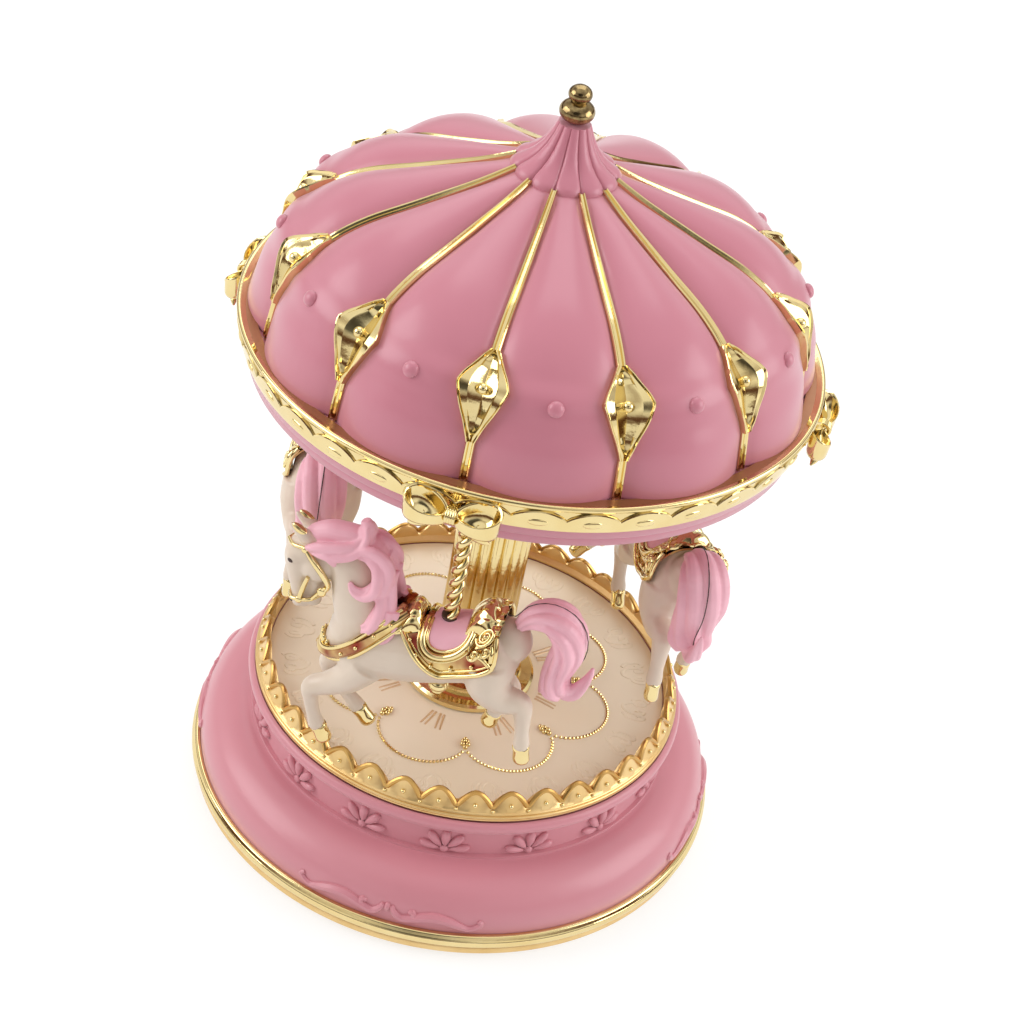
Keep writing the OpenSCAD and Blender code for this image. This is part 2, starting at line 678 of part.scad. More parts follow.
module pole(azimuth, lift) {
    rope_z = seat_z + 0.4 + lift;
    rope_h = 100.3 - rope_z;
    color(gold) rotate([0, 0, azimuth]) translate([pole_pcd_r, 0, 0]) {
        translate([0, 0, stub_z + lift]) cylinder(h = rope_z - stub_z - lift, r = pole_r, $fn = 40);
        translate([0, 0, stub_z + lift]) cylinder(h = 2.4, r = 1.9, $fn = 40);
        translate([0, 0, rope_z + rope_h]) cylinder(h = 104.8 - rope_z - rope_h, r = pole_r, $fn = 40);
        translate([0, 0, rope_z])
            linear_extrude(height = rope_h, twist = -360 * rope_h / twist_pitch,
                slices = round(rope_h / twist_pitch * 7), $fn = 6)
                polygon([[1.55, 0], [0.95, 0.85], [-0.95, 0.85], [-1.55, 0], [-0.95, -0.85],
                    [0.95, -0.85]]);
    }
}

module pole_front() {
    pole(-90, 0);
}

module pole_right() {
    pole(0, horse_lift);
}

module pole_rear() {
    pole(90, 0);
}

module pole_left() {
    pole(180, horse_lift);
}

/* Horses */

module pole_bore(r) {
    translate([0, 0, stub_z - 5]) cylinder(h = 40, r = r, $fn = 14);
}

module horse_flesh(grow = 0) {
    chain(torso, 10, grow);
    chain(neck, 10, grow);
    chain(head, 8, grow);
    for (leg = [near_fore, far_fore, near_hind, far_hind])
        chain([leg[0], leg[1]], 8, grow);
}

module horse_body() {
    color(cream) difference() {
        union() {
            horse_flesh();
            for (leg = [near_fore, far_fore, near_hind, far_hind])
                chain([for (i = [1 : len(leg) - 1]) leg[i]], 8);
            chain(ear, 6);
            mirror([0, 1, 0]) chain(ear, 6);
            translate([0, 0, belly_z]) cylinder(h = 4, r = 2.2, $fn = 24);
        }
        pole_bore(pole_r + pole_fit);
    }
}

module horse_mane() {
    color(mane_pink) difference() {
        union() {
            chain(mane_line, 8);
            chain(mane_curl, 7);
            chain(mane_end, 7);
        }
        horse_flesh(0.03);
        chain(ear, 6, 0.03);
        mirror([0, 1, 0]) chain(ear, 6, 0.03);
    }
}

module horse_tail() {
    color(mane_pink) difference() {
        chain(tail_line, 8);
        chain(torso, 10, 0.03);
        chain([near_hind[0], near_hind[1]], 8, 0.03);
        chain([far_hind[0], far_hind[1]], 8, 0.03);
    }
}

module horse_tack() {
    color(gold) difference() {
        union() {
            intersection() {
                chain(torso, 10, 0.9);
                translate([-7.6, -10, 55.4]) cube([16.8, 20, 20]);
            }
            chain([[8.4, -2.6, 64.8, 1.5], [8.8, 0, 66, 1.6], [8.4, 2.6, 64.8, 1.5]], 6);
            chain([[-6.2, -3.4, 67.6, 1.6], [-6.4, 0, 69.4, 1.8], [-6.2, 3.4, 67.6, 1.6]], 6);
            chain(strap, 5);
            mirror([0, 1, 0]) chain(strap, 5);
            translate([-5.6, 5.6, 62.4]) sphere(r = 1.9, $fn = 8);
            translate([-5.6, -5.6, 62.4]) sphere(r = 1.9, $fn = 8);
        }
        chain(torso, 10, 0.03);
        chain([neck[0], neck[1]], 10, 0.03);
        for (leg = [near_fore, far_fore, near_hind, far_hind])
            chain([leg[0], leg[1]], 8, 0.03);
        chain(mane_end, 7, 0.03);
        chain([mane_line[4], mane_line[5]], 8, 0.03);
        pole_bore(pole_r + 0.6);
    }
}

module horse_front() {
    at_horse(-90, -90, 0) children();
}

module horse_right() {
    at_horse(0, 110, horse_lift) children();
}

module horse_rear() {
    at_horse(90, -70, 0) children();
}

module horse_left() {
    at_horse(180, -77, horse_lift) children();
}

module horse_front_body() {
    horse_front() horse_body();
}

module horse_front_mane() {
    horse_front() horse_mane();
}

module horse_front_tail() {
    horse_front() horse_tail();
}

module horse_front_tack() {
    horse_front() horse_tack();
}

module horse_right_body() {
    horse_right() horse_body();
}

module horse_right_mane() {
    horse_right() horse_mane();
}

module horse_right_tail() {
    horse_right() horse_tail();
}

module horse_right_tack() {
    horse_right() horse_tack();
}

module horse_rear_body() {
    horse_rear() horse_body();
}

module horse_rear_mane() {
    horse_rear() horse_mane();
}

module horse_rear_tail() {
    horse_rear() horse_tail();
}

module horse_rear_tack() {
    horse_rear() horse_tack();
}

module horse_left_body() {
    horse_left() horse_body();
}

module horse_left_mane() {
    horse_left() horse_mane();
}

module horse_left_tail() {
    horse_left() horse_tail();
}

module horse_left_tack() {
    horse_left() horse_tack();
}

base_shell();
foot_ring();
bottom_cover();
rubber_feet();
cover_screws();
platform_disc();
gallery_ring();
bedplate();
spring_barrel();
mainspring();
winding_arbor();
ratchet_wheel();
click_pawl();
note_cylinder();
cylinder_pinion();
cylinder_gear();
cylinder_bracket();
note_comb();
comb_block();
comb_screws();
governor_bracket();
governor_wheel();
governor_fan();
bedplate_screws();
winding_key();
drive_spindle();
hub_flange();
fluted_column();
canopy_base();
canopy_dome();
rib_frame();
canopy_band();
canopy_cap();
finial();
bow_front();
bow_right();
bow_rear();
bow_left();
pole_front();
pole_right();
pole_rear();
pole_left();
horse_front_body();
horse_front_mane();
horse_front_tail();
horse_front_tack();
horse_right_body();
horse_right_mane();
horse_right_tail();
horse_right_tack();
horse_rear_body();
horse_rear_mane();
horse_rear_tail();
horse_rear_tack();
horse_left_body();
horse_left_mane();
horse_left_tail();
horse_left_tack();
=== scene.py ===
import math

import bmesh
import bpy
from mathutils import Matrix, Vector


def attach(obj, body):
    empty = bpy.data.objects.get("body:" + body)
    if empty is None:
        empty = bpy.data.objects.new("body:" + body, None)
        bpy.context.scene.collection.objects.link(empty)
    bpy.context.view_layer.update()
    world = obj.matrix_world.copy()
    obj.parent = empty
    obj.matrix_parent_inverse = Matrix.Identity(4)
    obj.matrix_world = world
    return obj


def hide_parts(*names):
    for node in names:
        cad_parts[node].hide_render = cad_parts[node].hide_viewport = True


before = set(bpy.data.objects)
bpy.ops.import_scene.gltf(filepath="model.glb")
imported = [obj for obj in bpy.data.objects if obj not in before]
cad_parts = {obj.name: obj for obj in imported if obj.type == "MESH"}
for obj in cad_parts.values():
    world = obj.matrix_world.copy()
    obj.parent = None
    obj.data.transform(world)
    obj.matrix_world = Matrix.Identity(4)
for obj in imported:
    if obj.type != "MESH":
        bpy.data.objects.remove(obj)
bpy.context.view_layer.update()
studio = bpy.context.scene


# The table and the light tent
# A plain white table under a tent of soft light: one wide lamp from each side, one from above
# and behind, and a camera that looks down on the box. Gloss sees the tent's walls, which are
# banded by height and dim in front.
studio.view_settings.view_transform = "Standard"
table_reach = 3.0
bm = bmesh.new()
bmesh.ops.create_grid(bm, x_segments=1, y_segments=1, size=table_reach)
table_mesh = bpy.data.meshes.new("table")
bm.to_mesh(table_mesh)
bm.free()
table = bpy.data.objects.new("table", table_mesh)
studio.collection.objects.link(table)

table_paint = bpy.data.materials.new("table_white")
table_paint.use_nodes = True
nodes = table_paint.node_tree.nodes
links = table_paint.node_tree.links
matt = nodes["Principled BSDF"]
matt.inputs["Base Color"].default_value = (0.86, 0.86, 0.86, 1)
matt.inputs["Roughness"].default_value = 0.9
glow = nodes.new("ShaderNodeEmission")
glow.inputs["Strength"].default_value = 0.72
shade = nodes.new("ShaderNodeBsdfDiffuse")
shade.inputs["Color"].default_value = (0.34, 0.34, 0.34, 1)
both = nodes.new("ShaderNodeAddShader")
ray = nodes.new("ShaderNodeLightPath")
seen = nodes.new("ShaderNodeMath")
seen.operation = "MAXIMUM"
pick = nodes.new("ShaderNodeMixShader")
links.new(glow.outputs[0], both.inputs[0])
links.new(shade.outputs[0], both.inputs[1])
links.new(ray.outputs["Is Camera Ray"], seen.inputs[0])
links.new(ray.outputs["Is Glossy Ray"], seen.inputs[1])
links.new(seen.outputs[0], pick.inputs[0])
links.new(matt.outputs[0], pick.inputs[1])
links.new(both.outputs[0], pick.inputs[2])
links.new(pick.outputs[0], nodes["Material Output"].inputs["Surface"])
table_mesh.materials.append(table_paint)

tent = bpy.data.worlds.new("light_tent")
studio.world = tent
tent.use_nodes = True
nodes = tent.node_tree.nodes
links = tent.node_tree.links
fill = nodes["Background"]
fill.inputs["Color"].default_value = (1, 0.985, 0.97, 1)
fill.inputs["Strength"].default_value = 0.62
backdrop = nodes.new("ShaderNodeBackground")
backdrop.inputs["Color"].default_value = (1, 1, 1, 1)
walls = nodes.new("ShaderNodeBackground")
walls.inputs["Strength"].default_value = 1.0
aim = nodes.new("ShaderNodeTexCoord")
split = nodes.new("ShaderNodeSeparateXYZ")
height = nodes.new("ShaderNodeMapRange")
height.inputs["From Min"].default_value = -1.0
height.inputs["From Max"].default_value = 1.0
bands = nodes.new("ShaderNodeValToRGB")
stops = bands.color_ramp.elements
stops[0].position = 0.46
stops[0].color = (0.62, 0.55, 0.48, 1)
stops[1].position = 1.0
stops[1].color = (1, 1, 1, 1)
for place, tone in (
    (0.52, (0.10, 0.045, 0.03, 1)),
    (0.57, (0.16, 0.09, 0.06, 1)),
    (0.63, (0.75, 0.72, 0.7, 1)),
    (0.72, (1, 1, 1, 1)),
    (0.84, (0.55, 0.5, 0.46, 1)),
    (0.92, (0.95, 0.95, 0.95, 1)),
):
    stop = stops.new(place)
    stop.color = tone
lens = nodes.new("ShaderNodeVectorMath")
lens.operation = "DOT_PRODUCT"
dim_side = (0.103, -0.793, 0.6)
lens.inputs[1].default_value = dim_side
hole = nodes.new("ShaderNodeMapRange")
hole.inputs["From Min"].default_value = 0.9
hole.inputs["From Max"].default_value = 0.975
hole.inputs["To Min"].default_value = 1.0
hole.inputs["To Max"].default_value = 0.12
dim = nodes.new("ShaderNodeVectorMath")
dim.operation = "SCALE"
ray = nodes.new("ShaderNodeLightPath")
first = nodes.new("ShaderNodeMixShader")
second = nodes.new("ShaderNodeMixShader")
links.new(aim.outputs["Generated"], split.inputs[0])
links.new(split.outputs["Z"], height.inputs["Value"])
links.new(height.outputs[0], bands.inputs[0])
links.new(aim.outputs["Generated"], lens.inputs[0])
links.new(lens.outputs["Value"], hole.inputs["Value"])
links.new(bands.outputs[0], dim.inputs[0])
links.new(hole.outputs[0], dim.inputs["Scale"])
links.new(dim.outputs[0], walls.inputs["Color"])
links.new(ray.outputs["Is Camera Ray"], first.inputs[0])
links.new(fill.outputs[0], first.inputs[1])
links.new(backdrop.outputs[0], first.inputs[2])
links.new(ray.outputs["Is Glossy Ray"], second.inputs[0])
links.new(first.outputs[0], second.inputs[1])
links.new(walls.outputs[0], second.inputs[2])
links.new(second.outputs[0], nodes["World Output"].inputs["Surface"])

box_middle = Vector((0, 0, 0.07))
for name, place, reach, watts in (
    ("lamp_left", (-0.62, -0.18, 0.42), 0.5, 2.6),
    ("lamp_right", (0.66, 0.05, 0.36), 0.5, 2.5),
    ("lamp_top", (-0.1, 0.42, 0.7), 0.6, 1.7),
):
    light = bpy.data.lights.new(name, "AREA")
    light.size = reach
    light.energy = watts
    lamp = bpy.data.objects.new(name, light)
    lamp.location = place
    lamp.rotation_euler = (box_middle - lamp.location).to_track_quat("-Z", "Y").to_euler()
    studio.collection.objects.link(lamp)

camera = bpy.data.objects.new("camera", bpy.data.cameras.new("camera"))
camera.data.sensor_width = 36
camera.data.lens = 79.84
camera.location = (0.04609, -0.33648, 0.32128)
camera.rotation_euler = (math.radians(52.545), math.radians(-9.094), math.radians(14.279))
studio.collection.objects.link(camera)
studio.camera = camera


# The base moulding
# One pink plastic moulding makes the flared foot, the step, the drum and the lip above it. Each
# palmette on the drum is five raised petals, and thin scrolls run in low relief near the foot.
def moulded_skin():
    """Colour, gloss and height of a moulded or plated surface: soft mottling and fine grain."""
    group = bpy.data.node_groups.new("moulded_skin", "ShaderNodeTree")
    face = group.interface
    for title, kind, value in (
        ("Colour", "NodeSocketColor", (0.5, 0.5, 0.5, 1)),
        ("Shade", "NodeSocketColor", (0.4, 0.4, 0.4, 1)),
        ("Mottle Scale", "NodeSocketFloat", 60.0),
        ("Grain Scale", "NodeSocketFloat", 900.0),
        ("Gloss", "NodeSocketFloat", 0.3),
        ("Gloss Spread", "NodeSocketFloat", 0.1),
    ):
        socket = face.new_socket(name=title, in_out="INPUT", socket_type=kind)
        socket.default_value = value
    face.new_socket(name="Colour", in_out="OUTPUT", socket_type="NodeSocketColor")
    face.new_socket(name="Roughness", in_out="OUTPUT", socket_type="NodeSocketFloat")
    face.new_socket(name="Height", in_out="OUTPUT", socket_type="NodeSocketFloat")
    nodes = group.nodes
    links = group.links
    given = nodes.new("NodeGroupInput")
    made = nodes.new("NodeGroupOutput")
    place = nodes.new("ShaderNodeTexCoord")
    mottle = nodes.new("ShaderNodeTexNoise")
    mottle.inputs["Detail"].default_value = 3.0
    grain = nodes.new("ShaderNodeTexNoise")
    grain.inputs["Detail"].default_value = 2.0
    for noise, scale in ((mottle, "Mottle Scale"), (grain, "Grain Scale")):
        links.new(place.outputs["Object"], noise.inputs["Vector"])
        links.new(given.outputs[scale], noise.inputs["Scale"])
    stretch = nodes.new("ShaderNodeMapRange")
    stretch.inputs["From Min"].default_value = 0.35
    stretch.inputs["From Max"].default_value = 0.65
    links.new(mottle.outputs["Fac"], stretch.inputs["Value"])
    blend = nodes.new("ShaderNodeMix")
    blend.data_type = "RGBA"
    links.new(stretch.outputs[0], blend.inputs["Factor"])
    links.new(given.outputs["Colour"], blend.inputs[6])
    links.new(given.outputs["Shade"], blend.inputs[7])
    spread = nodes.new("ShaderNodeMath")
    spread.operation = "MULTIPLY_ADD"
    links.new(grain.outputs["Fac"], spread.inputs[0])
    links.new(given.outputs["Gloss Spread"], spread.inputs[1])
    links.new(given.outputs["Gloss"], spread.inputs[2])
    links.new(blend.outputs[2], made.inputs["Colour"])
    links.new(spread.outputs[0], made.inputs["Roughness"])
    links.new(grain.outputs["Fac"], made.inputs["Height"])
    return group


skin_group = moulded_skin()


def finish(name, colour, shade, gloss, spread=0.08, metallic=0.0, bump=0.02, mottle=60.0,
           grain=900.0, coat=0.0, sheen=0.0):
    """A material whose colour, gloss and fine bumps come from the shared skin group."""
    paint = bpy.data.materials.new(name)
    paint.use_nodes = True
    nodes = paint.node_tree.nodes
    links = paint.node_tree.links
    shader = nodes["Principled BSDF"]
    shader.inputs["Metallic"].default_value = metallic
    shader.inputs["Coat Weight"].default_value = coat
    shader.inputs["Coat Roughness"].default_value = 0.12
    shader.inputs["Sheen Weight"].default_value = sheen
    skin = nodes.new("ShaderNodeGroup")
    skin.node_tree = skin_group
    skin.inputs["Colour"].default_value = (*colour, 1)
    skin.inputs["Shade"].default_value = (*shade, 1)
    skin.inputs["Mottle Scale"].default_value = mottle
    skin.inputs["Grain Scale"].default_value = grain
    skin.inputs["Gloss"].default_value = gloss
    skin.inputs["Gloss Spread"].default_value = spread
    relief = nodes.new("ShaderNodeBump")
    relief.inputs["Strength"].default_value = bump
    relief.inputs["Distance"].default_value = 0.001
    links.new(skin.outputs["Colour"], shader.inputs["Base Color"])
    links.new(skin.outputs["Roughness"], shader.inputs["Roughness"])
    links.new(skin.outputs["Height"], relief.inputs["Height"])
    links.new(relief.outputs[0], shader.inputs["Normal"])
    return paint


def turned(bm, section, steps):
    """Spins a section, a list of (radius, height) in millimetres, about the upright axis."""
    corners = [bm.verts.new((r, 0, z)) for r, z in section]
    rim = [bm.edges.new((a, b)) for a, b in zip(corners, corners[1:] + corners[:1])]
    bmesh.ops.spin(bm, geom=corners + rim, cent=(0, 0, 0), axis=(0, 0, 1),
                   angle=math.radians(360), steps=steps, use_merge=True)
    bmesh.ops.recalc_face_normals(bm, faces=bm.faces)


def arc(cx, cz, rx, rz, start, end, count):
    """Points along an ellipse's arc, as (radius, height)."""
    turns = [math.radians(start + (end - start) * k / count) for k in range(count + 1)]
    return [(cx + rx * math.cos(t), cz + rz * math.sin(t)) for t in turns]


def bead(bm, sides, rings, radii, place, lean=0.0, turn=0.0):
    """An egg-shaped bead, leaned about the crosswise axis, set in place and swung round."""
    put = (Matrix.Rotation(math.radians(turn), 4, "Z") @ Matrix.Translation(place)
           @ Matrix.Rotation(math.radians(lean), 4, "Y") @ Matrix.Diagonal((*radii, 1)))
    bmesh.ops.create_uvsphere(bm, u_segments=sides, v_segments=rings, radius=1, matrix=put)


def fit(name, bm, paint, body, slot, *stands_for, crease=35.0):
    """Turns millimetres into metres, makes the piece and fixes it to its body."""
    to_metres = 0.001
    bmesh.ops.scale(bm, vec=(to_metres, to_metres, to_metres), verts=bm.verts)
    mesh = bpy.data.meshes.new(name)
    bm.to_mesh(mesh)
    bm.free()
    mesh.shade_smooth()
    mesh.set_sharp_from_angle(angle=math.radians(crease))
    mesh.materials.append(paint)
    piece = bpy.data.objects.new(name, mesh)
    studio.collection.objects.link(piece)
    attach(piece, body)
    if stands_for:
        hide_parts(*stands_for)
    return piece


pink = finish("pink_plastic", (0.63, 0.245, 0.29), (0.62, 0.235, 0.28), 0.34, 0.03, bump=0.004,
              coat=0.1, sheen=0.3)
drum_r = 40.8
flare_r = 41.8
flare_z = 8
flare_out = 9.05
flare_up = 7.9
base_section = (
    [(48.8, 3.65), (50.85, 3.65)]
    + arc(flare_r, flare_z, flare_out, flare_up, 0, 90, 20)
    + [(41.6, 16.0), (41.6, 16.5), (drum_r, 16.6), (drum_r, 22.8), (42.5, 23.5)]
    + arc(41.9, 24.7, 1.1, 1.2, -35, 90, 8)
    + [(41.9, 24.05), (37, 24.05), (37, 22.4), (38.8, 22.4), (38.8, 14.4), (45.5, 12.4)]
    + [(48.2, 9.6), (48.8, 7)]
)
bm = bmesh.new()
turned(bm, base_section, 256)
fit("base_moulding", bm, pink, "base", "pink_plastic", "base_shell", crease=28)

palmettes = 16
first_palmette = -79.2
palmette_z = 17.15
petals = ((-74, 4.9, 0.8), (-38, 5.2, 0.98), (0, 5.0, 1.05), (38, 5.2, 0.98), (74, 4.9, 0.8))
petal_root = 0.9
bm = bmesh.new()
for fan in range(palmettes):
    facing = first_palmette + fan * 360 / palmettes
    for splay, reach, fat in petals:
        petal = bmesh.ops.create_uvsphere(bm, u_segments=14, v_segments=10, radius=1)["verts"]
        turn = math.radians(splay)
        for v in petal:
            along = (v.co.x + 1) / 2
            width = v.co.y * (0.35 + fat * 0.75 * along ** 0.6)
            out = petal_root + along * (reach - petal_root)
            side = out * math.sin(turn) + width * math.cos(turn)
            rise = out * math.cos(turn) - width * math.sin(turn)
            r = drum_r + 0.25 + v.co.z * (0.4 + 0.6 * along)
            a = math.radians(facing) + side / drum_r
            v.co = (r * math.cos(a), r * math.sin(a), palmette_z + rise)
    bead(bm, 12, 8, (0.595, 0.85, 0.765), (drum_r + 0.2, 0, palmette_z + 0.35), turn=facing)
fit("palmettes", bm, pink, "base", "pink_plastic")


def swept(bm, path, sides=8, ring=False):
    """Sweeps a round section along (x, y, z, radius) points, and gives back its vertices."""
    cord = bpy.data.curves.new("path", "CURVE")
    cord.dimensions = "3D"
    cord.bevel_depth = 1.0
    cord.bevel_resolution = max(0, sides // 2 - 2)
    cord.use_fill_caps = not ring
    line = cord.splines.new("POLY")
    line.points.add(len(path) - 1)
    line.use_cyclic_u = ring
    for point, (x, y, z, r) in zip(line.points, path):
        point.co = (x, y, z, 1)
        point.radius = r
    holder = bpy.data.objects.new("path", cord)
    mesh = bpy.data.meshes.new_from_object(holder)
    start = len(bm.verts)
    bm.from_mesh(mesh)
    bpy.data.objects.remove(holder)
    bpy.data.curves.remove(cord)
    bpy.data.meshes.remove(mesh)
    bm.verts.ensure_lookup_table()
    return bm.verts[start:]


def eased(path, per):
    """A smooth curve through the points of a path, with its radius easing in the same way."""
    rows = [Vector(p) for p in path]
    last = len(rows) - 1
    line = []
    for i in range(last):
        a, b, c, d = (rows[min(max(i + k, 0), last)] for k in (-1, 0, 1, 2))
        for k in range(per):
            t = k / per
            line.append(0.5 * ((2 * b) + (c - a) * t + (2 * a - 5 * b + 4 * c - d) * t ** 2
                               + (3 * b - a - 3 * c + d) * t ** 3))
    return [tuple(p) for p in line + [rows[-1]]]


def on_flare(turn, rise, radius):
    """A point on the flared foot, from its turn in degrees and its angle up the flare."""
    t = math.radians(rise)
    r = flare_r + flare_out * math.cos(t)
    z = flare_z + flare_up * math.sin(t)
    a = math.radians(turn)
    return (r * math.cos(a), r * math.sin(a), z, radius)


arm = [(0.9, 13, 0.5), (1.6, 4, 0.7), (3.2, -3, 0.85), (5.2, 0, 0.9), (7.5, 5, 1.0),
       (9.8, 8, 1.05), (12.5, 6, 1.0), (15, 0, 0.85), (17.2, -6, 0.7), (19, -3, 0.65), (20, 4, 0.6),
       (19.3, 8, 0.4)]
leaf = [(4.4, -1, 0.55), (5.7, 4, 0.75), (5.3, 10, 0.65), (4.6, 8, 0.35)]
hook = [(9.8, 8, 0.7), (8.6, 4, 0.7), (9.3, 1.5, 0.4)]
scroll_middles = (-89, 1, 91, 181)
bm = bmesh.new()
for middle in scroll_middles:
    for side in (-1, 1):
        for shape in (arm, leaf, hook):
            path = [on_flare(middle + side * turn, rise, r) for turn, rise, r in shape]
            swept(bm, eased(path, 4))
    bead(bm, 12, 8, (0.64, 0.64, 1.04), on_flare(middle, 9, 0)[:3])
fit("foot_scrolls", bm, pink, "base", "pink_plastic")


# The foot ring
# A plated ring carries the pink moulding. It is turned in one piece, with a bright rolled rim on
# top and a satin amber skirt below it.
gold = finish("gold_plating", (0.84, 0.69, 0.35), (0.80, 0.63, 0.29), 0.06, 0.06, metallic=1.0,
              bump=0.015, mottle=140.0, grain=1300.0)
satin_gold = finish("satin_gold", (0.88, 0.64, 0.30), (0.80, 0.54, 0.22), 0.26, 0.12,
                    metallic=0.7, bump=0.04, mottle=120.0, grain=1500.0)
bm = bmesh.new()
turned(bm, [(48, 3.6), (51.4, 3.6), (51.9, 3.35)]
       + arc(51.9, 4.35, 0.6, 1.0, -70, 70, 8) + arc(51.4, 5.3, 0.75, 0.7, 40, 120, 5)
       + [(50.95, 5.9), (50.9, 3.8), (48, 3.8)], 256)
fit("foot_rim", bm, gold, "base", "gold_plating", "foot_ring", crease=50)
bm = bmesh.new()
turned(bm, [(46.5, 1.25), (51.3, 1.25)] + arc(51.3, 1.8, 0.55, 0.55, -60, 10, 4)
       + [(51.85, 2.9), (51.5, 3.2), (51.4, 3.6), (46.5, 3.6)], 256)
fit("foot_skirt", bm, satin_gold, "base", "gold_plating", "foot_ring", crease=50)


# The gallery round the platform
# A plated fence stands in the lip. Its top is cut into rounded scallops with a rolled edge whose
# darker amber is painted shade. Beads sit on and between the scallops, and two fine lines run
# round its foot.
scallops = 38
scallop_steps = 14
gallery_top = 31.5
fence_foot = 27.9
notch = 0.84


def crest_at(turn):
    """The share of its full height that the fence reaches, at a turn in radians."""
    part = abs((turn * scallops / (2 * math.pi) + 0.25) % 1 - 0.5) * 2
    return 1 - notch * part ** 1.8


bm = bmesh.new()
fence = ([(39.4, 26.3), (41.85, 26.3), (41.85, 26.6)] + arc(41.6, 26.85, 0.28, 0.28, -60, 80, 4)
         + [(41.5, 27.15)] + arc(41.42, 27.5, 0.24, 0.24, -70, 90, 4)
         + [(41.3, 27.8), (41.0, 28.6), (40.75, 29.3), (40.5, 30.0), (40.3, 30.6), (40.15, 31.1)]
         + arc(39.55, 31.05, 0.45, 0.45, 20, 160, 5)
         + [(39.3, 30.4), (39.6, 29.5), (39.9, 28.6), (40.1, 27.6), (39.4, 26.8)])
turned(bm, fence, scallops * scallop_steps)
for v in bm.verts:
    if v.co.z > fence_foot:
        v.co.z = fence_foot + (v.co.z - fence_foot) * crest_at(math.atan2(v.co.y, v.co.x))
bmesh.ops.recalc_face_normals(bm, faces=bm.faces)
fit("gallery_fence", bm, satin_gold, "base", "gold_plating", "gallery_ring", crease=40)

# The rolled edge is plated like the fence; its darker amber colour is painted shade.
rim_gold_painted_shade = finish("rim_gold_painted_shade", (0.62, 0.38, 0.12), (0.54, 0.31, 0.09), 0.24, 0.1, metallic=0.85)
bm = bmesh.new()
crown = []
for k in range(scallops * scallop_steps):
    turn = 2 * math.pi * k / (scallops * scallop_steps)
    z = fence_foot + (gallery_top - 0.25 - fence_foot) * crest_at(turn)
    r = 40.65 - (z - 28.6) * 0.36
    crown.append((r * math.cos(turn), r * math.sin(turn), z, 0.5))
swept(bm, crown, ring=True)
fit("gallery_crown", bm, rim_gold_painted_shade, "base", "gold_plating")

bm = bmesh.new()
for k in range(scallops):
    for step, size, r, z in ((0.5, 0.46, 40.9, 29.1), (1.5, 0.34, 41.2, 28.1)):
        bead(bm, 12, 8, (size, size, size), (r, 0, z), turn=(2 * k + step) * 180 / scallops)
fit("gallery_beads", bm, gold, "base", "gold_plating")


# The platform
# A cream moulded disc closes the drum. It carries moulded swirls near its edge, paired strokes
# round the hub and a gold beaded garland of eight swags, with a cluster of beads where they meet.
cream = finish("cream_plastic", (0.91, 0.80, 0.62), (0.89, 0.77, 0.58), 0.36, 0.06, bump=0.01,
               mottle=40.0, grain=700.0)
platform_top = 26.2
bm = bmesh.new()
turned(bm, [(2.56, 24.1), (39.3, 24.1), (39.3, 26.05), (39.15, platform_top), (38.6, platform_top),
            (30, platform_top), (20, platform_top), (2.56, platform_top)], 192)
fit("platform", bm, cream, "base", "cream_plastic", "platform_disc")

swirl = [(-2.6, 1.6), (-3.4, 0.6), (-2.7, -0.5), (-1.5, -0.3), (-1.3, 0.7), (-2.0, 1.0),
         (-2.3, 0.4), (-1.2, -1.5), (0.4, -1.7), (1.6, -0.7), (1.4, 0.8), (0.4, 1.1),
         (0.2, 0.2), (0.9, 0.1)]
hook = [(2.0, -1.6), (3.2, -0.8), (3.3, 0.7), (2.4, 1.3), (1.9, 0.6), (2.5, 0.3)]
swirls = 20
swirl_phase = 4
swirl_r = 34.2
swirl_size = 1.5


def laid(bm, path, flatness):
    """Sweeps a path, flattens it and lays it on the platform."""
    made = swept(bm, path)
    bmesh.ops.scale(bm, vec=(1, 1, flatness), verts=made)
    bmesh.ops.translate(bm, vec=(0, 0, platform_top), verts=made)


bm = bmesh.new()
for k in range(swirls):
    flip = 1 if k % 2 else -1
    for shape in (swirl, hook):
        path = []
        for x, y in shape:
            a = math.radians(k * 360 / swirls + swirl_phase + flip * x * swirl_size)
            r = swirl_r + y * swirl_size
            path.append((r * math.cos(a), r * math.sin(a), 0, 0.42))
        laid(bm, eased(path, 4), 0.42)
fit("platform_swirls", bm, cream, "base", "cream_plastic")

strokes = 8
stroke_phase = 38
stroke_r = 14.9
stroke_length = 4.4
bm = bmesh.new()
for k in range(strokes):
    for side in (-1, 1):
        for gap in (1.8, 4.6):
            path = []
            for t in (0, 0.3, 0.6, 1):
                a = math.radians(k * 360 / strokes + stroke_phase + side * (gap + 1.4 * t))
                r = stroke_r + stroke_length * t
                path.append((r * math.cos(a), r * math.sin(a), 0, 0.26 - 0.08 * t))
            laid(bm, path, 0.6)
amber_print = finish("amber_print", (0.72, 0.52, 0.32), (0.66, 0.45, 0.25), 0.3, metallic=0.3)
fit("hub_strokes", bm, amber_print, "base", "cream_plastic")

swags = 8
swag_beads = 34
first_cusp = -76
cusp_r = 22.6
belly_r = 29.4
cluster = ((0.3, 0, 0.5), (-0.55, 0.52, 0.5), (-0.55, -0.52, 0.5), (-1.45, 0.4, 0.46),
           (-1.45, -0.4, 0.46), (-2.1, 0, 0.4))
bm = bmesh.new()
for k in range(swags * swag_beads):
    part = (k % swag_beads) / swag_beads
    a = math.radians(first_cusp + (k / swag_beads) * 360 / swags)
    r = cusp_r + (belly_r - cusp_r) * math.sin(math.pi * part) ** 0.62
    small = bmesh.ops.create_icosphere(bm, subdivisions=1, radius=0.36)["verts"]
    bmesh.ops.translate(bm, vec=(r * math.cos(a), r * math.sin(a), platform_top + 0.12), verts=small)
for k in range(swags):
    for out, side, size in cluster:
        bead(bm, 12, 8, (size, size, size), (cusp_r + out, side, platform_top + size * 0.55),
             turn=first_cusp + k * 360 / swags)
fit("garland", bm, gold, "base", "cream_plastic")


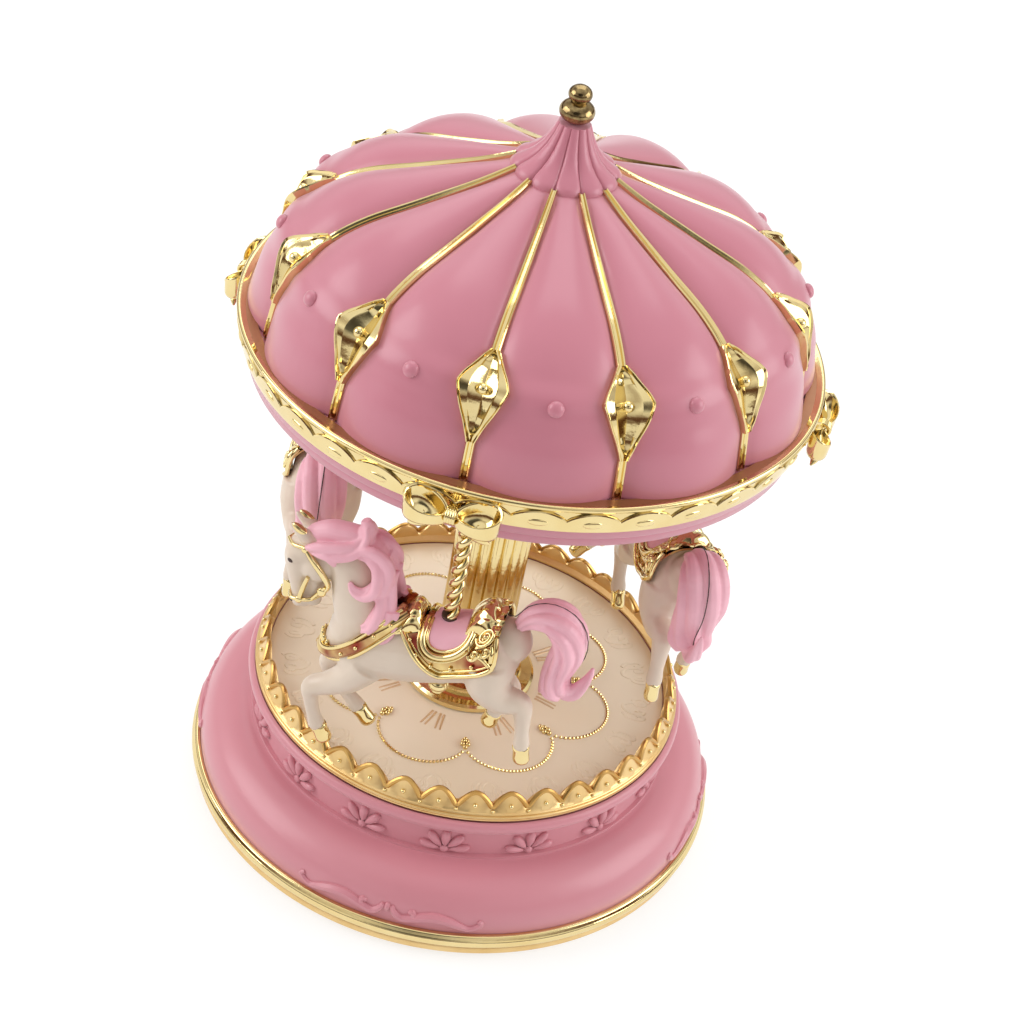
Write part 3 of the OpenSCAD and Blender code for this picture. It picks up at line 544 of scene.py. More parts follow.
# Under the base
# A plain moulded cover closes the base on four rubber feet. The brass movement and its steel
# comb stand on it inside, and the winding key turns in a well at its middle.
rose = finish("rose_plastic", (0.55, 0.30, 0.34), (0.5, 0.27, 0.31), 0.42, bump=0.06, grain=600.0)
rubber = finish("soft_rubber", (0.025, 0.025, 0.028), (0.04, 0.04, 0.042), 0.6, bump=0.15)
steel = finish("bright_steel", (0.56, 0.57, 0.59), (0.48, 0.49, 0.51), 0.2, 0.15, metallic=1.0,
               bump=0.05, mottle=200.0)
brass = finish("machined_brass", (0.66, 0.47, 0.20), (0.58, 0.39, 0.15), 0.22, 0.14, metallic=1.0,
               bump=0.05, mottle=160.0)


def dress(paint, *names):
    """Gives CAD nodes their finish, in every slot they have."""
    for name in names:
        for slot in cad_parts[name].material_slots:
            slot.material = paint


dress(rose, "bottom_cover")
dress(rubber, "rubber_feet")
dress(steel, "cover_screws", "bedplate_screws", "comb_screws", "note_comb", "mainspring",
      "winding_arbor", "ratchet_wheel", "click_pawl", "drive_spindle")
dress(brass, "bedplate", "spring_barrel", "note_cylinder", "cylinder_pinion", "cylinder_gear",
      "cylinder_bracket", "comb_block", "governor_bracket", "governor_wheel", "governor_fan",
      "winding_key")


# The turning column
# The hub flange rides on the spindle just above the platform. A plated column with round flutes
# stands on it and carries the canopy.
dress(gold, "hub_flange")
flutes = 20
flute_depth = 0.8
column_r = 7.25
column_foot = 30.4
column_tall = 73.2
bm = bmesh.new()
foot = bmesh.ops.create_circle(bm, cap_ends=False, segments=flutes * 12, radius=column_r)["verts"]
for v in foot:
    part = math.atan2(v.co.y, v.co.x) * flutes / (2 * math.pi)
    part = 2 * abs(part - round(part))
    r = column_r - flute_depth * (1 - math.sqrt(max(0.0, 1 - part ** 2)))
    v.co = (v.co.x * r / column_r, v.co.y * r / column_r, column_foot)
shaft = bmesh.ops.extrude_edge_only(bm, edges=bm.edges[:])["geom"]
top = [g for g in shaft if isinstance(g, bmesh.types.BMVert)]
bmesh.ops.translate(bm, vec=(0, 0, column_tall), verts=top)
bmesh.ops.holes_fill(bm, edges=bm.edges[:])
bmesh.ops.recalc_face_normals(bm, faces=bm.faces)
fit("column", bm, gold, "carousel", "gold_plating", "fluted_column", crease=50)


# The canopy's floor and lip
# A pink moulding closes the canopy from below and shows as a double lip under the plated band.
# It sits on the column, and the four poles are fixed in it.
# The canopy's pink is the base moulding's pink made darker and redder: painted shade over the canopy.
canopy_pink_painted_shade = finish("canopy_pink_painted_shade", (0.58, 0.20, 0.26), (0.57, 0.195, 0.255), 0.32, 0.03, bump=0.004,
                     coat=0.12, sheen=0.3)
bm = bmesh.new()
turned(bm, [(2.5, 103.7), (45.6, 103.7), (47.2, 102.2), (47.5, 98.1), (47.9, 97.75)]
       + arc(49.1, 98.35, 0.75, 0.62, 200, 340, 5) + [(49.95, 99.6), (50.15, 99.75), (50.4, 100.1)]
       + [(50.7, 101.6), (49.95, 101.8), (49.95, 106.2), (45.8, 106.2), (45.3, 105.6), (2.5, 105.6)],
       256)
fit("canopy_floor", bm, canopy_pink_painted_shade, "carousel", "pink_plastic", "canopy_base")


# The ribbed dome
# One thin pink moulding with twelve puffed gores. Each gore swells between two narrow valleys
# where the gold ribs lie, and has one small round knob at its shoulder.
gores = 12
gore_turn = 360 / gores
bed_half = 0.95
valley = [(8.6, 139.2, 0.0), (14, 136.5, 1.2), (20, 134, 1.9), (26, 131.6, 2.4), (32, 129.3, 2.6),
          (36.2, 127.1, 2.6), (39, 125.1, 2.5), (41.5, 123, 2.3), (44, 120.9, 2.2),
          (45.3, 117.4, 2.2), (46.6, 113.9, 2.4), (47.2, 110.4, 2.6), (47.6, 107.6, 2.8),
          (47.8, 106.25, 2.8)]
flank = eased(valley, 4)
leans = []
for i in range(len(flank)):
    over = flank[max(i - 1, 0)]
    under = flank[min(i + 1, len(flank) - 1)]
    run = Vector((under[0] - over[0], under[1] - over[1])).normalized()
    leans.append((-run.y, run.x))


def on_dome(row, turn, lift=0.0):
    """A point on the dome: row down the valley line, turn in degrees from a valley, lift."""
    i = min(int(row), len(flank) - 2)
    r, z, puff = Vector(flank[i]).lerp(Vector(flank[i + 1]), row - i)
    out, up = Vector(leans[i]).lerp(Vector(leans[i + 1]), row - i)
    flat = math.degrees(bed_half / r) / gore_turn
    part = (turn / gore_turn % 1 - flat) / (1 - 2 * flat)
    rise = puff * math.sin(math.pi * min(max(part, 0.0), 1.0)) ** 0.62 + lift
    a = math.radians(turn)
    return Vector(((r + rise * out) * math.cos(a), (r + rise * out) * math.sin(a), z + rise * up))


def row_at(height):
    """The row of the valley line at a height."""
    for i, (a, b) in enumerate(zip(flank, flank[1:])):
        if b[1] <= height:
            return i + (a[1] - height) / (a[1] - b[1])


def round_gores(bm):
    """Repeats a piece made at one valley over all twelve, with the first valley in front."""
    bmesh.ops.rotate(bm, cent=(0, 0, 0), verts=bm.verts,
                     matrix=Matrix.Rotation(math.radians(-90), 3, "Z"))
    bmesh.ops.spin(bm, geom=bm.verts[:] + bm.edges[:] + bm.faces[:], cent=(0, 0, 0), axis=(0, 0, 1),
                   angle=math.radians(360 - gore_turn), steps=gores - 1, use_duplicate=True)


bm = bmesh.new()
rows = len(flank) - 1
just_inside = gore_turn - 0.0001
bmesh.ops.create_grid(bm, x_segments=rows, y_segments=24, size=0.5)
for v in bm.verts:
    v.co = on_dome(round((v.co.x + 0.5) * rows), (v.co.y + 0.5) * just_inside)
round_gores(bm)
bmesh.ops.remove_doubles(bm, verts=bm.verts, dist=0.002)
bmesh.ops.recalc_face_normals(bm, faces=bm.faces)
dome = fit("dome", bm, canopy_pink_painted_shade, "carousel", "pink_plastic", "canopy_dome", crease=80)
wall = dome.modifiers.new("wall", "SOLIDIFY")
wall.thickness = 0.0012
wall.offset = -1

knob_at = on_dome(row_at(120.65), gore_turn / 2)
bm = bmesh.new()
bead(bm, 20, 12, (1.35, 1.35, 0.945), (knob_at.xy.length, 0, knob_at.z), lean=63, turn=gore_turn / 2)
round_gores(bm)
fit("dome_knobs", bm, canopy_pink_painted_shade, "carousel", "pink_plastic")


# The gold ribs
# Twelve plated ribs lie in the valleys. Each is a fine line with a shallow channel, and carries
# a faceted diamond with a raised edge, an eye and a round boss at the dome's shoulder.
rib_top = 0.1
rib_foot = rows
shoulder_r = 44.5
rib_across = ((-1.0, -0.4), (-1.0, 0.5), (-0.82, 0.72), (-0.55, 0.62), (-0.28, 0.3), (0.28, 0.3),
              (0.55, 0.62), (0.82, 0.72), (1.0, 0.5), (1.0, -0.4))
bm = bmesh.new()
bmesh.ops.create_grid(bm, x_segments=60, y_segments=9, size=0.5)
for v in bm.verts:
    row = rib_top + (rib_foot - rib_top) * (v.co.x + 0.5)
    side, lift = rib_across[round((v.co.y + 0.5) * 9)]
    r = flank[min(round(row), rows)][0]
    half = min(0.42 + 0.014 * r, 0.82) if r < shoulder_r - 0.5 else 0.78
    v.co = on_dome(row, 0, lift)
    v.co.y = side * half
round_gores(bm)
bmesh.ops.recalc_face_normals(bm, faces=bm.faces)
fit("ribs", bm, gold, "carousel", "gold_plating", "rib_frame", crease=24)

diamond_top = row_at(125.6)
diamond_low = row_at(113.0)
tip_half = 0.7
side_half = 3.75
waist = 0.46
end_tuck = 1.9
bm = bmesh.new()
bmesh.ops.create_grid(bm, x_segments=40, y_segments=18, size=0.5)
for v in bm.verts:
    down = v.co.x + 0.5
    kite = tip_half + side_half * min(down / waist, ((1 - down) / (1 - waist)) ** 1.15)
    swell = math.sin(math.pi * min(max((down - 0.03) / 0.9, 0), 1))
    eye = min(max(2.3 * swell ** 0.9, 0.12), kite * 0.55)
    across = [(kite, -0.9), (kite, 0.8), (kite - 0.1, 1.0), (kite - 0.26, 1.05), (kite - 0.42, 0.85),
              (max(kite - 0.5, eye + 0.1), 0.72), (eye + 0.05, 0.85), (eye, 1.05), (eye * 0.84, 0.9),
              (0, 0.55)]
    step = round((v.co.y + 0.5) * 18) - 9
    wide, lift = across[9 - abs(step)]
    side = math.copysign(wide, step) if step else 0.0
    row = diamond_top + (diamond_low - diamond_top) * down
    tuck = end_tuck if min(down, 1 - down) < 0.01 else 0.0
    base = on_dome(row, math.degrees(abs(side) / shoulder_r), 0.25 + lift - tuck)
    v.co = (math.hypot(base.x, base.y), side, base.z)
round_gores(bm)
bmesh.ops.recalc_face_normals(bm, faces=bm.faces)
fit("diamonds", bm, gold, "carousel", "gold_plating", crease=26)
boss_at = on_dome(diamond_top + (diamond_low - diamond_top) * 0.47, 0, 1.3)
bm = bmesh.new()
bead(bm, 20, 14, (0.95, 0.95, 0.95), boss_at)
round_gores(bm)
fit("diamond_bosses", bm, gold, "carousel", "gold_plating")


# The plated band
# A deep plated hoop hides the joint of the dome and its floor. Its ledge inside is coloured dark
# amber as painted shade between the dome and the band. A raised scalloped line runs round the hoop
# with a flat oval boss under each wave.
band_waves = 36
wave_steps = 12
# The plated ledge's dark amber colour is painted shade between the dome and the band.
ledge = finish("amber_ledge_painted_shade", (0.44, 0.21, 0.10), (0.36, 0.16, 0.07), 0.3, metallic=0.5)
bm = bmesh.new()
turned(bm, [(50.0, 101.9), (51.2, 101.9), (51.35, 102.3), (51.5, 103.0), (51.75, 104.5),
            (52.0, 106.2)] + arc(51.85, 107.0, 0.5, 0.5, -50, 130, 7)
       + [(51.3, 107.25), (50.9, 107.05), (50.6, 106.9), (50.2, 106.4)], 288)
fit("band", bm, gold, "carousel", "gold_plating", "canopy_band", crease=50)
bm = bmesh.new()
turned(bm, [(49.0, 106.35), (50.8, 106.35), (50.95, 106.98), (49.0, 106.85)], 192)
fit("band_ledge", bm, ledge, "carousel", "gold_plating", "canopy_band")
bm = bmesh.new()
loop = []
for k in range(band_waves * wave_steps):
    a = 2 * math.pi * k / (band_waves * wave_steps)
    z = 104.35 + 1.75 * abs(math.sin(a * band_waves / 2)) ** 0.8
    r = 51.5 + (z - 103) * 0.167
    loop.append((r * math.cos(a), r * math.sin(a), z, 0.3))
swept(bm, loop, ring=True)
for k in range(band_waves):
    bead(bm, 14, 8, (0.4, 1.75, 0.75), (51.52, 0, 103.7), turn=(k + 0.5) * 360 / band_waves)
fit("band_relief", bm, gold, "carousel", "gold_plating")


# The cap and finial
# A small fluted pink cone closes the dome where the ribs meet. A dark gold finial of two
# flattened beads is pressed into it.
bm = bmesh.new()
cone = [(9.4, 138.6, 0.5), (9.5, 139.4, 0.75), (8.8, 140.2, 0.75), (7.3, 141.1, 0.62),
        (5.9, 142.3, 0.52), (4.6, 144.0, 0.42), (3.6, 145.9, 0.32), (2.8, 147.9, 0.2),
        (1.1, 148.0, 0.0), (1.1, 139.7, 0.0)]
turned(bm, [(r, z) for r, z, _ in cone], gores * 16)
for v in bm.verts:
    deep = min(cone, key=lambda q: abs(math.hypot(v.co.x, v.co.y) - q[0]) + abs(v.co.z - q[1]))[2]
    part = (math.degrees(math.atan2(v.co.y, v.co.x)) + 90) / gore_turn % 1
    drawn_in = 1.5 * deep * (1 - math.sin(math.pi * part) ** 0.5)
    pinch = 1 - drawn_in / max(math.hypot(v.co.x, v.co.y), 1)
    v.co.x *= pinch
    v.co.y *= pinch
fit("cap", bm, canopy_pink_painted_shade, "carousel", "pink_plastic", "canopy_cap", crease=60)
antique = finish("antique_gold", (0.42, 0.31, 0.14), (0.16, 0.11, 0.05), 0.12, 0.1, metallic=1.0,
                 mottle=700.0, bump=0.08)
bm = bmesh.new()
turned(bm, [(0.02, 144.5), (1.0, 144.5), (1.0, 147.9)] + arc(0, 150, 3.05, 2.1, -66, 60, 14)
       + arc(0, 153.1, 2.05, 1.6, -48, 89, 14), 64)
fit("finial_beads", bm, antique, "carousel", "antique_gold", "finial")


# The bows
# Four plated bows sit on the band over the poles. Each is two ribbon loops, a wrapped knot and
# two short tails, moulded in one and pinned through the band.
# Each step across a loop has its share of the loop's size and of the brim's height.
cup = ((0.1, 0.0), (0.7, 0.0), (0.9, 0.06), (0.97, 0.2), (1.0, 0.6), (1.04, 0.9), (1.06, 0.97),
       (1.0, 1.03), (0.92, 1.0), (0.88, 0.9), (0.8, 0.66), (0.62, 0.44), (0.36, 0.32), (0.02, 0.28))
bow_r = 53.2
knot_z = 102.9
bowl_foot = 100.7
ribbon_end = [(0, 1.0, 102.2, 0.5), (0.4, 3.4, 101.0, 0.9), (0.2, 5.6, 99.9, 0.75),
              (-0.2, 6.8, 99.2, 0.2)]
for bow, azimuth in (("bow_front", -90), ("bow_right", 0), ("bow_rear", 90), ("bow_left", 180)):
    bm = bmesh.new()
    for side in (-1, 1):
        loop = bmesh.ops.create_grid(bm, x_segments=13, y_segments=32, size=0.5)["verts"]
        for v in loop:
            size, grown = cup[round((v.co.x + 0.5) * 13)]
            t = (v.co.y + 0.5) * 2 * math.pi
            out = 2.35 * math.sin(t) * math.sin(t / 2) ** 0.6
            brim = 104.5 - 0.8 * math.cos(t) - 1.3 * math.sin(t)
            v.co = (bow_r + 0.15 + size * out, side * (4.35 - size * 3.75 * math.cos(t)),
                    bowl_foot + (brim - bowl_foot) * grown)
        bmesh.ops.remove_doubles(bm, verts=loop, dist=0.001)
        swept(bm, eased([(bow_r + x, side * y, z, r) for x, y, z, r in ribbon_end], 4))
    bmesh.ops.recalc_face_normals(bm, faces=bm.faces)
    for k in range(4):
        wrap = [(bow_r + 1.45 * math.cos(t), (k - 1.5) * 0.42, knot_z + 1.25 * math.sin(t), 0.3)
                for t in [2 * math.pi * j / 20 for j in range(20)]]
        swept(bm, wrap, ring=True)
    bead(bm, 16, 10, (1.38, 0.96, 1.2), (bow_r, 0, knot_z))
    bmesh.ops.create_cone(bm, cap_ends=True, segments=20, radius1=0.9, radius2=0.9, depth=2.4,
                          matrix=Matrix.Translation((bow_r - 1, 0, knot_z))
                          @ Matrix.Rotation(math.radians(90), 4, "Y"))
    bmesh.ops.rotate(bm, cent=(0, 0, 0), verts=bm.verts,
                     matrix=Matrix.Rotation(math.radians(azimuth), 3, "Z"))
    fit(bow + "_ribbon", bm, gold, "carousel", "gold_plating", bow, crease=60)


# The twisted poles
# Each plated pole is two round strands twisted together between the canopy and the saddle. A
# plain pin runs on down through the horse and ends in a small knob under its belly.
pole_ring = 34.0
horse_lift = 6.0
# Each seat has its side, its turn round the column, the horse's heading there and its lift.
seats = (("front", -90, -90, 0.0), ("right", 0, 110, horse_lift), ("rear", 90, -70, 0.0),
         ("left", 180, -77, horse_lift))
pitch = 5.6
pitch_steps = 18
rope_foot = 66.7
rope_top = 103.6
strand_r = 0.72
strand_off = 0.78
knob_z = 50.75
pin_foot = 49.2
pin_tall = 17.5
for side, azimuth, _, lift in seats:
    bm = bmesh.new()
    low_z = rope_foot + lift
    tall = rope_top - low_z
    count = round(tall / pitch * pitch_steps)
    for start in (0, 180):
        strand = []
        for k in range(count + 1):
            a = math.radians(start + k * 360 / pitch_steps)
            strand.append((strand_off * math.cos(a), strand_off * math.sin(a),
                           low_z + tall * k / count, strand_r))
        swept(bm, strand, 10)
    bmesh.ops.create_cone(bm, cap_ends=True, segments=28, radius1=1.15, radius2=1.15, depth=pin_tall,
                          matrix=Matrix.Translation((0, 0, pin_foot + lift + pin_tall / 2)))
    bead(bm, 24, 12, (1.9, 1.9, 1.52), (0, 0, knob_z + lift))
    bmesh.ops.translate(bm, vec=(pole_ring, 0, 0), verts=bm.verts)
    bmesh.ops.rotate(bm, cent=(0, 0, 0), verts=bm.verts,
                     matrix=Matrix.Rotation(math.radians(azimuth), 3, "Z"))
    fit(f"pole_{side}_rope", bm, gold, "carousel", "gold_plating", f"pole_{side}", crease=60)


# The horses
# Each cream horse is moulded in two halves and glued. The same mould serves all four, and each
# hangs on its pole by a bore through its back and belly.
def placed(name, bm, paint, slot, node=None):
    """Copies a piece made at the pole to all four horses, each riding on its own body."""
    for side, azimuth, heading, lift in seats:
        put = (Matrix.Rotation(math.radians(azimuth), 4, "Z")
               @ Matrix.Translation((pole_ring, 0, lift))
               @ Matrix.Rotation(math.radians(heading), 4, "Z"))
        one = bm.copy()
        bmesh.ops.transform(one, matrix=put, verts=one.verts)
        stands_for = (f"horse_{side}_{node}",) if node else ()
        fit(f"{name}_{side}", one, paint, f"horse_{side}", slot, *stands_for, crease=60)
    bm.free()


def melted(bm, voxel, passes):
    """Fuses overlapping forms into one smooth skin, as a mould would give."""
    rough = bpy.data.meshes.new("rough")
    bm.to_mesh(rough)
    bm.free()
    holder = bpy.data.objects.new("rough", rough)
    studio.collection.objects.link(holder)
    fuse = holder.modifiers.new("fuse", "REMESH")
    fuse.mode = "VOXEL"
    fuse.voxel_size = voxel
    fused = bpy.data.meshes.new_from_object(
        holder.evaluated_get(bpy.context.evaluated_depsgraph_get()))
    skin = bmesh.new()
    skin.from_mesh(fused)
    bpy.data.objects.remove(holder)
    bpy.data.meshes.remove(rough)
    bpy.data.meshes.remove(fused)
    for _ in range(passes):
        bmesh.ops.smooth_vert(skin, verts=skin.verts, factor=0.5, use_axis_x=True,
                              use_axis_y=True, use_axis_z=True)
    return skin


def ball(bm, x, y, z, rx, ry=None, rz=None, lean=0.0):
    """An egg-shaped lump, leaned about the crosswise axis; small ones take fewer faces."""
    around = 24 if rx > 1.3 else 12
    bead(bm, around, around * 2 // 3, (rx, ry or rx, rz or rx), (x, y, z), lean=lean)


torso = [(16.9, 0, 55.2, 4.8), (13.5, 0, 56.0, 6.0), (10, 0, 56.9, 6.3), (5, 0, 57.8, 6.2),
         (0, 0, 59.2, 5.9), (-5, 0, 61.0, 5.8), (-8.8, 0, 63.3, 5.9), (-10.7, 0, 64.9, 4.5)]
neck = [(12.6, 0, 57.0, 6.2), (14.6, 0, 60.4, 5.8), (16.3, 0, 64.2, 5.1), (17.6, 0, 68.2, 4.5),
        (19.2, 0, 72.0, 4.0), (21.4, 0, 74.6, 3.4)]
head = [(21.4, 0, 74.6, 3.2), (25.4, 0, 74.0, 3.3), (27.9, 0, 71.4, 3.2), (28.0, 0, 67.6, 2.45),
        (27.4, 0, 64.0, 1.95), (26.8, 0, 61.4, 1.9)]
jaw = [(25.2, 0, 69.0, 2.2), (24.6, 0, 65.4, 1.6), (24.7, 0, 62.2, 1.35)]
fore_near = [(13.0, 3.0, 53.6, 4.1), (15.6, 3.4, 49.4, 3.1), (19.0, 3.5, 46.6, 2.3),
             (22.1, 3.5, 44.6, 1.95), (22.0, 3.4, 41.6, 1.45), (21.2, 3.3, 38.2, 1.3),
             (20.5, 3.2, 36.2, 1.55), (20.0, 3.1, 35.2, 1.4)]
fore_far = [(13.0, -3.0, 53.8, 4.1), (16.0, -3.4, 49.8, 3.0), (19.0, -3.5, 47.2, 2.3),
            (21.2, -3.5, 45.4, 1.95), (19.6, -3.4, 42.4, 1.5), (16.8, -3.3, 39.2, 1.3),
            (14.9, -3.1, 37.4, 1.55), (14.1, -3.1, 36.6, 1.4)]
hind_near = [(-8.4, 2.9, 61.5, 4.6), (-9.4, 3.4, 57.2, 4.2), (-12.2, 3.6, 54.8, 3.0),
             (-15.6, 3.5, 54.6, 2.1), (-16.5, 3.5, 51.4, 1.6), (-16.9, 3.5, 48.2, 1.35),
             (-17.2, 3.5, 45.8, 1.55), (-17.3, 3.5, 44.6, 1.4)]
hind_far = [(-7.6, -2.9, 61.5, 4.6), (-8.2, -3.4, 56.6, 4.0), (-9.8, -3.5, 53.2, 2.8),
            (-12.6, -3.5, 51.2, 2.0), (-12.0, -3.5, 48.6, 1.5), (-11.1, -3.5, 46.4, 1.35),
            (-10.6, -3.4, 45.2, 1.5), (-10.3, -3.4, 44.4, 1.4)]
bm = bmesh.new()
for limb in (fore_near, fore_far, hind_near, hind_far, jaw):
    swept(bm, eased(limb, 4), 20)
for rise in (0.8, -0.5):
    swept(bm, eased([(x, y, z + rise, r) for x, y, z, r in torso], 4), 24)
for limb, narrow in ((neck, 0.86), (head, 0.84)):
    bmesh.ops.scale(bm, vec=(1, narrow, 1), verts=swept(bm, eased(limb, 4), 24))
for x, y, z, r in (torso[0], torso[-1], head[-1], head[0], neck[-1]):
    ball(bm, x, y, z, r, r * 0.86, r)
ball(bm, 15.4, 0, 57.6, 5.9, 5.0, 6.2)
for side in (-1, 1):
    ball(bm, 14.4, side * 2.6, 54.0, 4.2, 3.7, 4.8, -20)
    ball(bm, -8.5, side * 2.5, 61.4, 4.9, 3.8, 5.8, 20)
    ball(bm, 24.6, side * 1.5, 70.0, 2.9, 1.7, 3.0, -25)
    ball(bm, 28.7, side * 1.75, 71.2, 1.7, 1.15, 1.5, 20)
    ball(bm, 27.3, side * 0.85, 61.2, 1.3, 1.15, 1.35)
    ear = [(25.5, side * 1.6, 75.4, 1.1), (27.4, side * 1.7, 76.4, 1.3),
           (29.1, side * 1.7, 77.4, 0.85), (30.4, side * 1.6, 78.3, 0.3)]
    swept(bm, eased(ear, 3), 10)
ball(bm, 24.8, 0, 61.7, 1.45, 1.5, 1.2)
bmesh.ops.create_cone(bm, cap_ends=True, segments=32, radius1=2.2, radius2=2.6, depth=3.5,
                      matrix=Matrix.Translation((0, 0, 54.1)))
horse_cream = finish("horse_cream", (0.73, 0.61, 0.495), (0.70, 0.575, 0.46), 0.32, 0.06, bump=0.01,
                     mottle=150.0, coat=0.1)
placed("horse", melted(bm, 0.3, 4), horse_cream, "horse_cream", "body")


# The hooves, eyes and nostrils
# The gold of the hooves is painted over the moulding with a ruffled edge. The eyes are small
# dark painted drops, and a dark disc where the pole enters the seat is painted shade in the bore.
hoof_ends = (((20.2, 3.1, 35.8), (18.3, 3.0, 32.2)), ((14.5, -3.1, 37.0), (11.6, -3.0, 33.9)),
             ((-17.25, 3.5, 45.2), (-17.9, 3.5, 41.2)), ((-10.5, -3.4, 45.0), (-9.7, -3.5, 41.4)))
hoof_rows = ((0.0, 1.3), (0.08, 1.6), (0.2, 1.58), (0.36, 1.48), (0.6, 1.55), (0.8, 1.58),
             (0.93, 1.4), (0.99, 1.1), (1.0, 0.6))
ruffle_deep = 0.32
ruffle_fade = 1.2
bm = bmesh.new()
for ankle, toe in hoof_ends:
    a = Vector(ankle)
    b = Vector(toe)
    made = swept(bm, [(*(a + (b - a) * t), r) for t, r in hoof_rows], 24)
    axis = (b - a).normalized()
    for v in made:
        reach = v.co - a
        far = reach.dot(axis)
        off = reach - axis * far
        if off.length > 0.1 and far < ruffle_fade:
            wave = math.sin(math.atan2(off.y, off.x) * 5)
            v.co -= axis * ruffle_deep * wave * (1 - far / ruffle_fade)
    bmesh.ops.scale(bm, vec=(1, 0.86, 1), space=Matrix.Translation(-a), verts=made)
placed("hooves", bm, gold, "gold_plating")

# Dark paint for the eyes and nostrils and the tail's glue line, and painted shade in the pole's bore.
dark = finish("eye_paint_glue_and_bore_shade", (0.05, 0.03, 0.025), (0.08, 0.045, 0.035), 0.15)
bm = bmesh.new()
for side in (-1, 1):
    ball(bm, 29.2, side * 2.55, 70.9, 0.62, 0.4, 0.5, -30)
    ball(bm, 28.5, side * 1.25, 61.2, 0.3, 0.3, 0.42, 20)
# A dark disc round the pole at the seat: painted shade in the bore.
bmesh.ops.create_cone(bm, cap_ends=True, segments=32, radius1=1.65, radius2=1.65, depth=0.5,
                      matrix=Matrix.Translation((0, 0, 66.75)))
placed("eyes", bm, dark, "horse_cream")


# The manes and tails
# Pink painted locks, moulded with each half: a roll sweeps back from the forehead into a knob,
# and heavy locks fall behind the neck and curl forward at their ends. A dark line of glue shows
# down the tail.
horse_pink = finish("horse_pink", (0.88, 0.48, 0.56), (0.84, 0.44, 0.52), 0.38, 0.06, bump=0.01,
                    mottle=180.0)


def lock(bm, path, strands=3, share=0.54, twist=0.35):
    """A lock of hair: a few strands lying round the path, turning a little as they go."""
    line = eased(path, 4)
    across = Vector((0, 1, 0))
    for k in range(strands):
        strand = []
        for i, (x, y, z, r) in enumerate(line):
            a = 2 * math.pi * k / strands + twist * i / 4
            before = Vector(line[max(i - 1, 0)][:3])
            after = Vector(line[min(i + 1, len(line) - 1)][:3])
            run = (after - before).normalized()
            out = run.cross(across).normalized()
            off = (out * math.cos(a) + across * math.sin(a)) * r * (1.06 - share)
            strand.append((*(Vector((x, y, z)) + off), r * share))
        swept(bm, strand, 10)


crest = [[(27.6, 0.0, 74.4, 0.8), (26.0, 0.0, 76.0, 1.9), (23.2, 0.0, 77.4, 2.3),
          (20.0, 0.0, 77.8, 2.3), (17.6, 0.0, 78.4, 1.9), (16.9, 0.0, 80.2, 1.5),
          (17.6, 0.0, 82.0, 0.9)],
         [(19.0, 0, 76.6, 2.2), (15.6, 0, 76.5, 2.2), (13.7, 0, 74.2, 2.1), (13.0, 0, 71.0, 2.1),
          (12.4, 0, 67.6, 2.1), (11.9, 0, 64.4, 1.8)]]
locks = [[(26.8, 2.2, 74.2, 0.8), (24.4, 2.9, 75.4, 1.7), (21.0, 3.1, 76.0, 1.9),
          (18.0, 2.6, 77.0, 1.6), (16.6, 1.4, 79.0, 1.2), (16.9, 0.6, 81.2, 0.8)],
         [(23.4, 3.6, 75.4, 0.9), (21.8, 3.8, 74.6, 0.95), (21.0, 3.7, 73.2, 0.4)],
         [(18.2, 2.4, 76.6, 1.3), (15.2, 2.2, 77.0, 2.0), (12.9, 2.4, 75.2, 2.2),
          (12.6, 3.1, 72.4, 2.0), (13.2, 3.6, 70.2, 1.8), (15.0, 4.0, 69.0, 1.4),
          (16.9, 4.1, 69.5, 0.95), (17.9, 3.9, 70.9, 0.45)],
         [(13.2, 1.2, 76.2, 1.4), (12.0, 1.6, 73.4, 1.6), (11.5, 2.2, 70.4, 1.8),
          (11.3, 3.0, 67.2, 2.0), (11.9, 4.0, 64.8, 1.9), (13.0, 4.8, 62.9, 1.4),
          (14.4, 5.1, 62.3, 0.8)],
         [(10.2, 1.0, 74.2, 0.3), (10.9, 1.5, 72.6, 1.0), (11.4, 2.0, 70.6, 1.3)],
         [(10.4, 3.4, 67.0, 1.3), (11.0, 4.4, 63.8, 1.3), (12.4, 5.2, 61.6, 0.9),
          (13.8, 5.3, 61.0, 0.35)],
         [(9.4, 3.0, 67.0, 1.3), (9.3, 4.0, 63.8, 1.2), (10.2, 5.0, 61.4, 0.9),
          (11.6, 5.5, 60.4, 0.35)]]
bm = bmesh.new()
for path in crest:
    swept(bm, eased(path, 4), 14)
for path in locks:
    for side in (-1, 1):
        lock(bm, [(x, side * y, z, r) for x, y, z, r in path])
placed("mane", melted(bm, 0.21, 1), horse_pink, "horse_pink", "mane")

tail = [(-12.3, 0, 69.3, 1.2), (-14.3, 0, 71.8, 2.0), (-17.4, 0, 72.8, 2.6), (-20.4, 0, 71.2, 3.0),
        (-21.6, 0, 67.6, 3.0), (-20.9, 0, 64.0, 2.8), (-20.2, 0, 60.8, 2.6), (-20.6, 0, 58.2, 2.6),
        (-21.6, 0, 56.6, 1.6)]
flick = [(-20.6, 0, 60.4, 1.8), (-21.8, 0, 57.9, 1.9), (-23.8, 0, 57.6, 1.6), (-25.2, 0, 59.6, 1.2),
         (-26.1, 0, 62.0, 0.8), (-26.4, 0, 64.2, 0.3)]
bm = bmesh.new()
lock(bm, tail, 7, 0.36, 0.22)
swept(bm, eased([(x, y, z, r * 0.78) for x, y, z, r in tail], 4), 12)
bmesh.ops.scale(bm, vec=(1, 1.5, 1), verts=bm.verts)
lock(bm, flick, 3, 0.62, 0.3)
lock(bm, [(-20.0, 0, 62.0, 1.7), (-19.2, 0, 58.4, 1.6), (-18.4, 0, 55.6, 0.7)], 3, 0.6)
placed("tail", melted(bm, 0.21, 1), horse_pink, "horse_pink", "tail")
